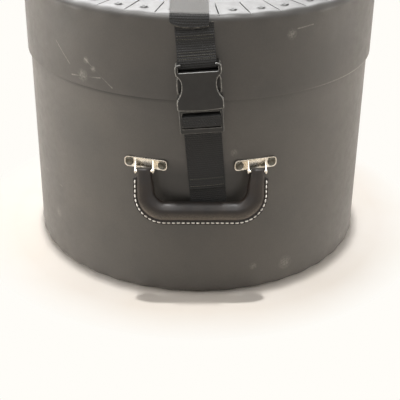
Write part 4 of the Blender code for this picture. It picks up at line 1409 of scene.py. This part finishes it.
class MakePlates(bpy.types.Operator):
    """Makes the plated handle plates with their ears, rivets and pins"""
    bl_idname = "drum_case.plates"
    bl_label = "Handle plates"

    def execute(self, context):
        nickel = nickel_plated_steel()
        steel = blackened_steel()
        for side, word in ((-1, "left"), (1, "right")):
            plate = self.plate(side)
            hand_over(named(plate, "plate_" + word), "base", "plated_steel", nickel,
                      "handle_plate_" + word)
            pin = self.pin(side)
            hand_over(named(pin, "pin_" + word), "base", "plated_steel", nickel,
                      "handle_pin_" + word)
            for number, u in ((1, -0.01785), (2, 0.01785)):
                head = turned("plate_head", [(0, 0.0014), (0.0018, 0.0015), (0.0024, 0.0019),
                                             (0.0032, 0.0026), (0.0037, 0.0028), (0.0042, 0.0025),
                                             (0.0044, 0.0019), (0.0018, 0.0016), (0.0018, -0.0020),
                                             (0, -0.0020)], 28)
                settle(smooth(head, 50), plate_frame(side) @ Matrix.Translation((u, 0, 0)))
                hand_over(named(head, f"plate_{word}_rivet_{number}"), "base", "rivet_steel", steel,
                          f"plate_rivet_{word}_{number}")
        return {"FINISHED"}

    def plate(self, side):
        """A stamped plate with rounded corners and a raised rim, and two ears for the pin."""
        half, high, radius, thick = 0.0233, 0.00575, 0.0040, 0.0016
        ear_radius, ear_half, foot_half, ear_reach = 0.0031, 0.0007, 0.0050, 0.0075
        outline = []
        for number, (x, y) in enumerate(((1, -1), (1, 1), (-1, 1), (-1, -1))):
            for i in range(7):
                angle = math.pi / 2 * (number - 1 + i / 6)
                outline.append((x * (half - radius) + radius * math.cos(angle),
                                y * (high - radius) + radius * math.sin(angle)))
        plate = outline_solid("plate", outline, 0, thick)
        edit(plate)
        select_faces(plate, lambda face: face.normal.z > 0.9)
        bpy.ops.mesh.inset(thickness=0.0010, depth=0)
        bpy.ops.mesh.inset(thickness=0.0004, depth=-0.0005)
        leave_edit()
        round_edges(plate, 0.00035, 2, 35)
        settle(plate, plate_frame(side))
        for x in (EAR_X - EAR_SPACING / 2, EAR_X + EAR_SPACING / 2):
            root_y = PIN_Y + ear_reach
            if x > EAR_X:
                root_y += math.tan(PLATE_AZIMUTH) * EAR_SPACING
            shape = [(root_y, foot_half)]
            for i in range(15):
                angle = math.radians(60 - 150 * i / 14)
                shape.append((PIN_Y - ear_radius * math.cos(angle),
                              PIN_HEIGHT - PLATE_HEIGHT + ear_radius * math.sin(angle)))
            shape.append((root_y, -foot_half))
            ear = outline_solid("ear", shape, -ear_half, ear_half)
            round_edges(ear, 0.0003, 2, 35)
            settle(ear, frame_of(Vector((side * x, 0, PLATE_HEIGHT)), Y_AXIS, Z_AXIS, X_AXIS))
            combine(plate, ear, "UNION")
        swell = [(0.0006, -0.0030), (thick + 0.0004, -0.0030), (thick + 0.0006, -0.0028),
                 (thick + 0.0004, 0.0005), (thick - 0.0001, 0.0041), (0.0006, 0.0043)]
        swell = outline_solid("swell", swell, -EAR_SPACING / 2 + 0.0006, EAR_SPACING / 2 - 0.0006)
        middle = side * (EAR_X - BASE_RADIUS * math.sin(PLATE_AZIMUTH))
        settle(swell, plate_frame(side) @ frame_of(X_AXIS * middle, Z_AXIS, Y_AXIS, X_AXIS))
        combine(plate, swell, "UNION")
        return smooth(plate, 40)

    def pin(self, side):
        reach = EAR_SPACING / 2 + 0.0009
        head = reach + 0.0005
        profile = [(0, -head - 0.0001), (0.0012, -head), (0.0018, -head + 0.0002),
                   (0.0020, -reach), (0.0016, -reach), (0.0016, reach), (0.0020, reach),
                   (0.0019, head - 0.0002), (0.0013, head), (0, head + 0.0001)]
        pin = smooth(turned("pin", profile, 24), 40)
        return settle(pin, frame_of(Vector((side * EAR_X, PIN_Y, PIN_HEIGHT)), Y_AXIS, Z_AXIS,
                                    X_AXIS))


class MakeRivets(bpy.types.Operator):
    """Makes the rivets of the straps and of the seams"""
    bl_idname = "drum_case.rivets"
    bl_label = "Strap and seam rivets"

    def execute(self, context):
        sheet = context.scene.case_fibre.thickness
        web = GAP + context.scene.case_webbing.thickness
        radius = BASE_RADIUS + web
        for number, u in enumerate((-ANCHOR_SPACING / 2, ANCHOR_SPACING / 2), 1):
            x = STRAP_X + u
            spots = {"front": wrap_place(u, lean_v(FRONT_ANCHOR), radius - LID_RADIUS),
                     "back": Vector((x, math.sqrt(radius ** 2 - x ** 2), BACK_ANCHOR))}
            for word, spot in spots.items():
                self.rivet(f"{word}_strap_rivet_{number}", spot, sheet + web + GAP, "base",
                           f"strap_rivet_{word}_{number}")
        walls = (("base", BASE_RADIUS, (0.018, 0.11375, 0.2095)),
                 ("lid", LID_RADIUS + sheet, (0.2455, 0.2965)))
        for body, radius, heights in walls:
            for number, z in enumerate(heights, 1):
                self.rivet(f"{body}_wall_rivet_{number}", around(radius, SEAM_AZIMUTH, z),
                           2 * sheet + GAP, body, f"{body}_seam_rivet_{number}")
        return {"FINISHED"}

    def rivet(self, name, spot, grip, body, node):
        """A domed head on the spot, a shank through the grip and a clenched end behind it."""
        profile = [(0, 0.0015), (0.0018, 0.00135), (0.0033, 0.0009), (0.0042, 0.0003),
                   (0.0045, 0.0001), (0.0018, 0.0001), (0.0018, -grip), (0.0032, -grip - GAP),
                   (0.0029, -grip - GAP - 0.0003), (0, -grip - GAP - 0.0004)]
        out = Vector((spot.x, spot.y, 0)).normalized()
        piece = smooth(turned(name, profile, 24), 45)
        settle(piece, frame_of(spot, Vector((-out.y, out.x, 0)), Z_AXIS, out))
        hand_over(piece, body, "rivet_steel", blackened_steel(), node)


# Stage

# Name, place, size, setting for the power, share of it, and the rays that don't see the lamp

LAMPS = (
    ("left_lamp", (-2.35, 0.06, 0.22), (1.4, 0.45), "sides", 1.34, "visible_glossy"),
    ("right_lamp", (2.4, 0.22, 0.24), (1.4, 0.45), "sides", 1.04, "visible_glossy"),
    ("back_panel", (-0.98, 2.3, 1.25), (3.4, 2.1), "back", 0.94, "visible_diffuse"),
    ("zenith_panel", (-0.8, 0.9, 2.2), (4.4, 2.0), "back", 1.15, "visible_diffuse"),
    ("top_panel", (0, -1.0, 2.0), (2.2, 0.8), "top", 1.0, "visible_diffuse"),
)


class MakeStage(bpy.types.Operator):
    """Makes the floor, the lamps, the surround and the camera"""
    bl_idname = "drum_case.stage"
    bl_label = "Stage"

    def execute(self, context):
        settings = context.scene.case_stage
        self.camera(context)
        clear_selection()
        bpy.ops.mesh.primitive_plane_add(size=8, location=(0, 0, 0))
        floor = named(bpy.context.object, "floor")
        for vertex in floor.data.vertices:
            vertex.co.z = FLOOR
        floor.data.materials.append(self.floor_material(settings))
        clear_selection()
        bpy.ops.object.light_add(type="SUN", location=(0, 0, 3))
        sun = named(bpy.context.object, "overhead_lamp")
        sun.data.energy = settings.overhead
        sun.data.angle = math.radians(2.4)
        sun.rotation_euler = Vector((0.006, -0.019, -1)).to_track_quat("-Z", "Y").to_euler()
        for name, place, size, power, share, unseen in LAMPS:
            lamp = self.lamp(name, place, size, getattr(settings, power) * share)
            setattr(lamp, unseen, False)
        self.surround(context, settings)
        context.scene.view_settings.view_transform = "Standard"
        return {"FINISHED"}

    def camera(self, context):
        clear_selection()
        bpy.ops.object.camera_add(location=(-0.01735, -1.0687, 0.5767))
        camera = named(bpy.context.object, "photo_camera")
        turn = (Matrix.Rotation(math.radians(-1.1117), 3, "Z")
                @ Matrix.Rotation(math.radians(62.064), 3, "X")
                @ Matrix.Rotation(math.radians(0.6836), 3, "Z"))
        camera.rotation_euler = turn.to_euler()
        camera.data.sensor_width = 36
        camera.data.sensor_fit = "HORIZONTAL"
        camera.data.lens = 84.02
        context.scene.camera = camera

    def lamp(self, name, place, size, power):
        """A rectangular lamp that faces the case."""
        clear_selection()
        bpy.ops.object.light_add(type="AREA", location=place)
        lamp = named(bpy.context.object, name)
        lamp.data.shape = "RECTANGLE"
        lamp.data.size, lamp.data.size_y = size
        lamp.data.energy = power
        aim = Vector((0, 0, 0.2)) - Vector(place)
        lamp.rotation_euler = aim.to_track_quat("-Z", "Y").to_euler()
        return lamp

    def floor_material(self, settings):
        """Painted floor, matt and nearly white: its shadow stays, and it fades to white."""
        material, add = start_material("floor_painted")
        coords = add("TexCoord", output="Object")
        tone = mottled_tone(add, coords, settings.floor[:], linear("#ffffff"), 160, 3, 0.5, 0.4,
                            0.7, 0, 0.25)
        paint = add("BsdfPrincipled", sockets={"Base Color": tone, "Roughness": 0.7})
        white = add("Emission", linear("#fffdf8"), 1.0)
        away = add("VectorMath", coords, output=1, operation="LENGTH")
        seen = add("LightPath", output="Is Camera Ray")
        fade = add("Math", seen, add("MapRange", away, 0.232, 0.285), operation="MULTIPLY")
        add("OutputMaterial", add("MixShader", fade, paint, white))
        return material

    def surround(self, context, settings):
        """Pale all round: white to the camera, in metal and in gloss, and softer as light."""
        world = bpy.data.worlds.new("pale_surround")
        context.scene.world = world
        world.use_nodes = True
        world.node_tree.nodes.clear()
        add = partial(add_node, world.node_tree)
        path = add("LightPath").node.outputs
        mirrored = add("Math", path["Is Glossy Ray"], path["Is Transmission Ray"],
                       operation="MAXIMUM")
        seen = add("Math", path["Is Camera Ray"], mirrored, operation="MAXIMUM")
        soft = add("Background", linear("#fbf8f4"), settings.sky)
        white = add("Background", linear("#ffffff"), 1.0)
        add("OutputWorld", add("MixShader", seen, soft, white))


OPERATORS = (MakeShells, MakePanels, MakeTabRivets, MakeOverStrap, MakeBuckleLoop, MakeLowerStrap,
             MakeStrapThread, MakeSocket, MakePlug, MakeHandle, MakeStitches, MakePlates,
             MakeRivets, MakeStage)
SETTINGS = {"case_fibre": FibreSettings, "case_webbing": WebbingSettings,
            "case_buckle": BuckleSettings, "case_handle": HandleSettings,
            "case_stage": StageSettings}


class DrumCasePanel(bpy.types.Panel):
    """Lists the case's settings and the pieces that can be made"""
    bl_idname = "VIEW3D_PT_drum_case"
    bl_label = "Drum case"
    bl_space_type = "VIEW_3D"
    bl_region_type = "UI"
    bl_category = "Drum case"

    def draw(self, context):
        for name, group in SETTINGS.items():
            box = self.layout.box()
            box.label(text=name.replace("_", " ").capitalize())
            for key in group.__annotations__:
                box.prop(getattr(context.scene, name), key)
        for operator in OPERATORS:
            self.layout.operator(operator.bl_idname)


def register():
    for group in SETTINGS.values():
        bpy.utils.register_class(group)
    for name, group in SETTINGS.items():
        setattr(bpy.types.Scene, name, PointerProperty(type=group))
    for operator in OPERATORS:
        bpy.utils.register_class(operator)
    bpy.utils.register_class(DrumCasePanel)


def unregister():
    bpy.utils.unregister_class(DrumCasePanel)
    for operator in reversed(OPERATORS):
        bpy.utils.unregister_class(operator)
    for name, group in SETTINGS.items():
        delattr(bpy.types.Scene, name)
        bpy.utils.unregister_class(group)


def main():
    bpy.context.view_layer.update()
    register()
    for operator in OPERATORS:
        group, name = operator.bl_idname.split(".")
        getattr(getattr(bpy.ops, group), name)()
    clear_selection()


if __name__ == "__main__":
    main()
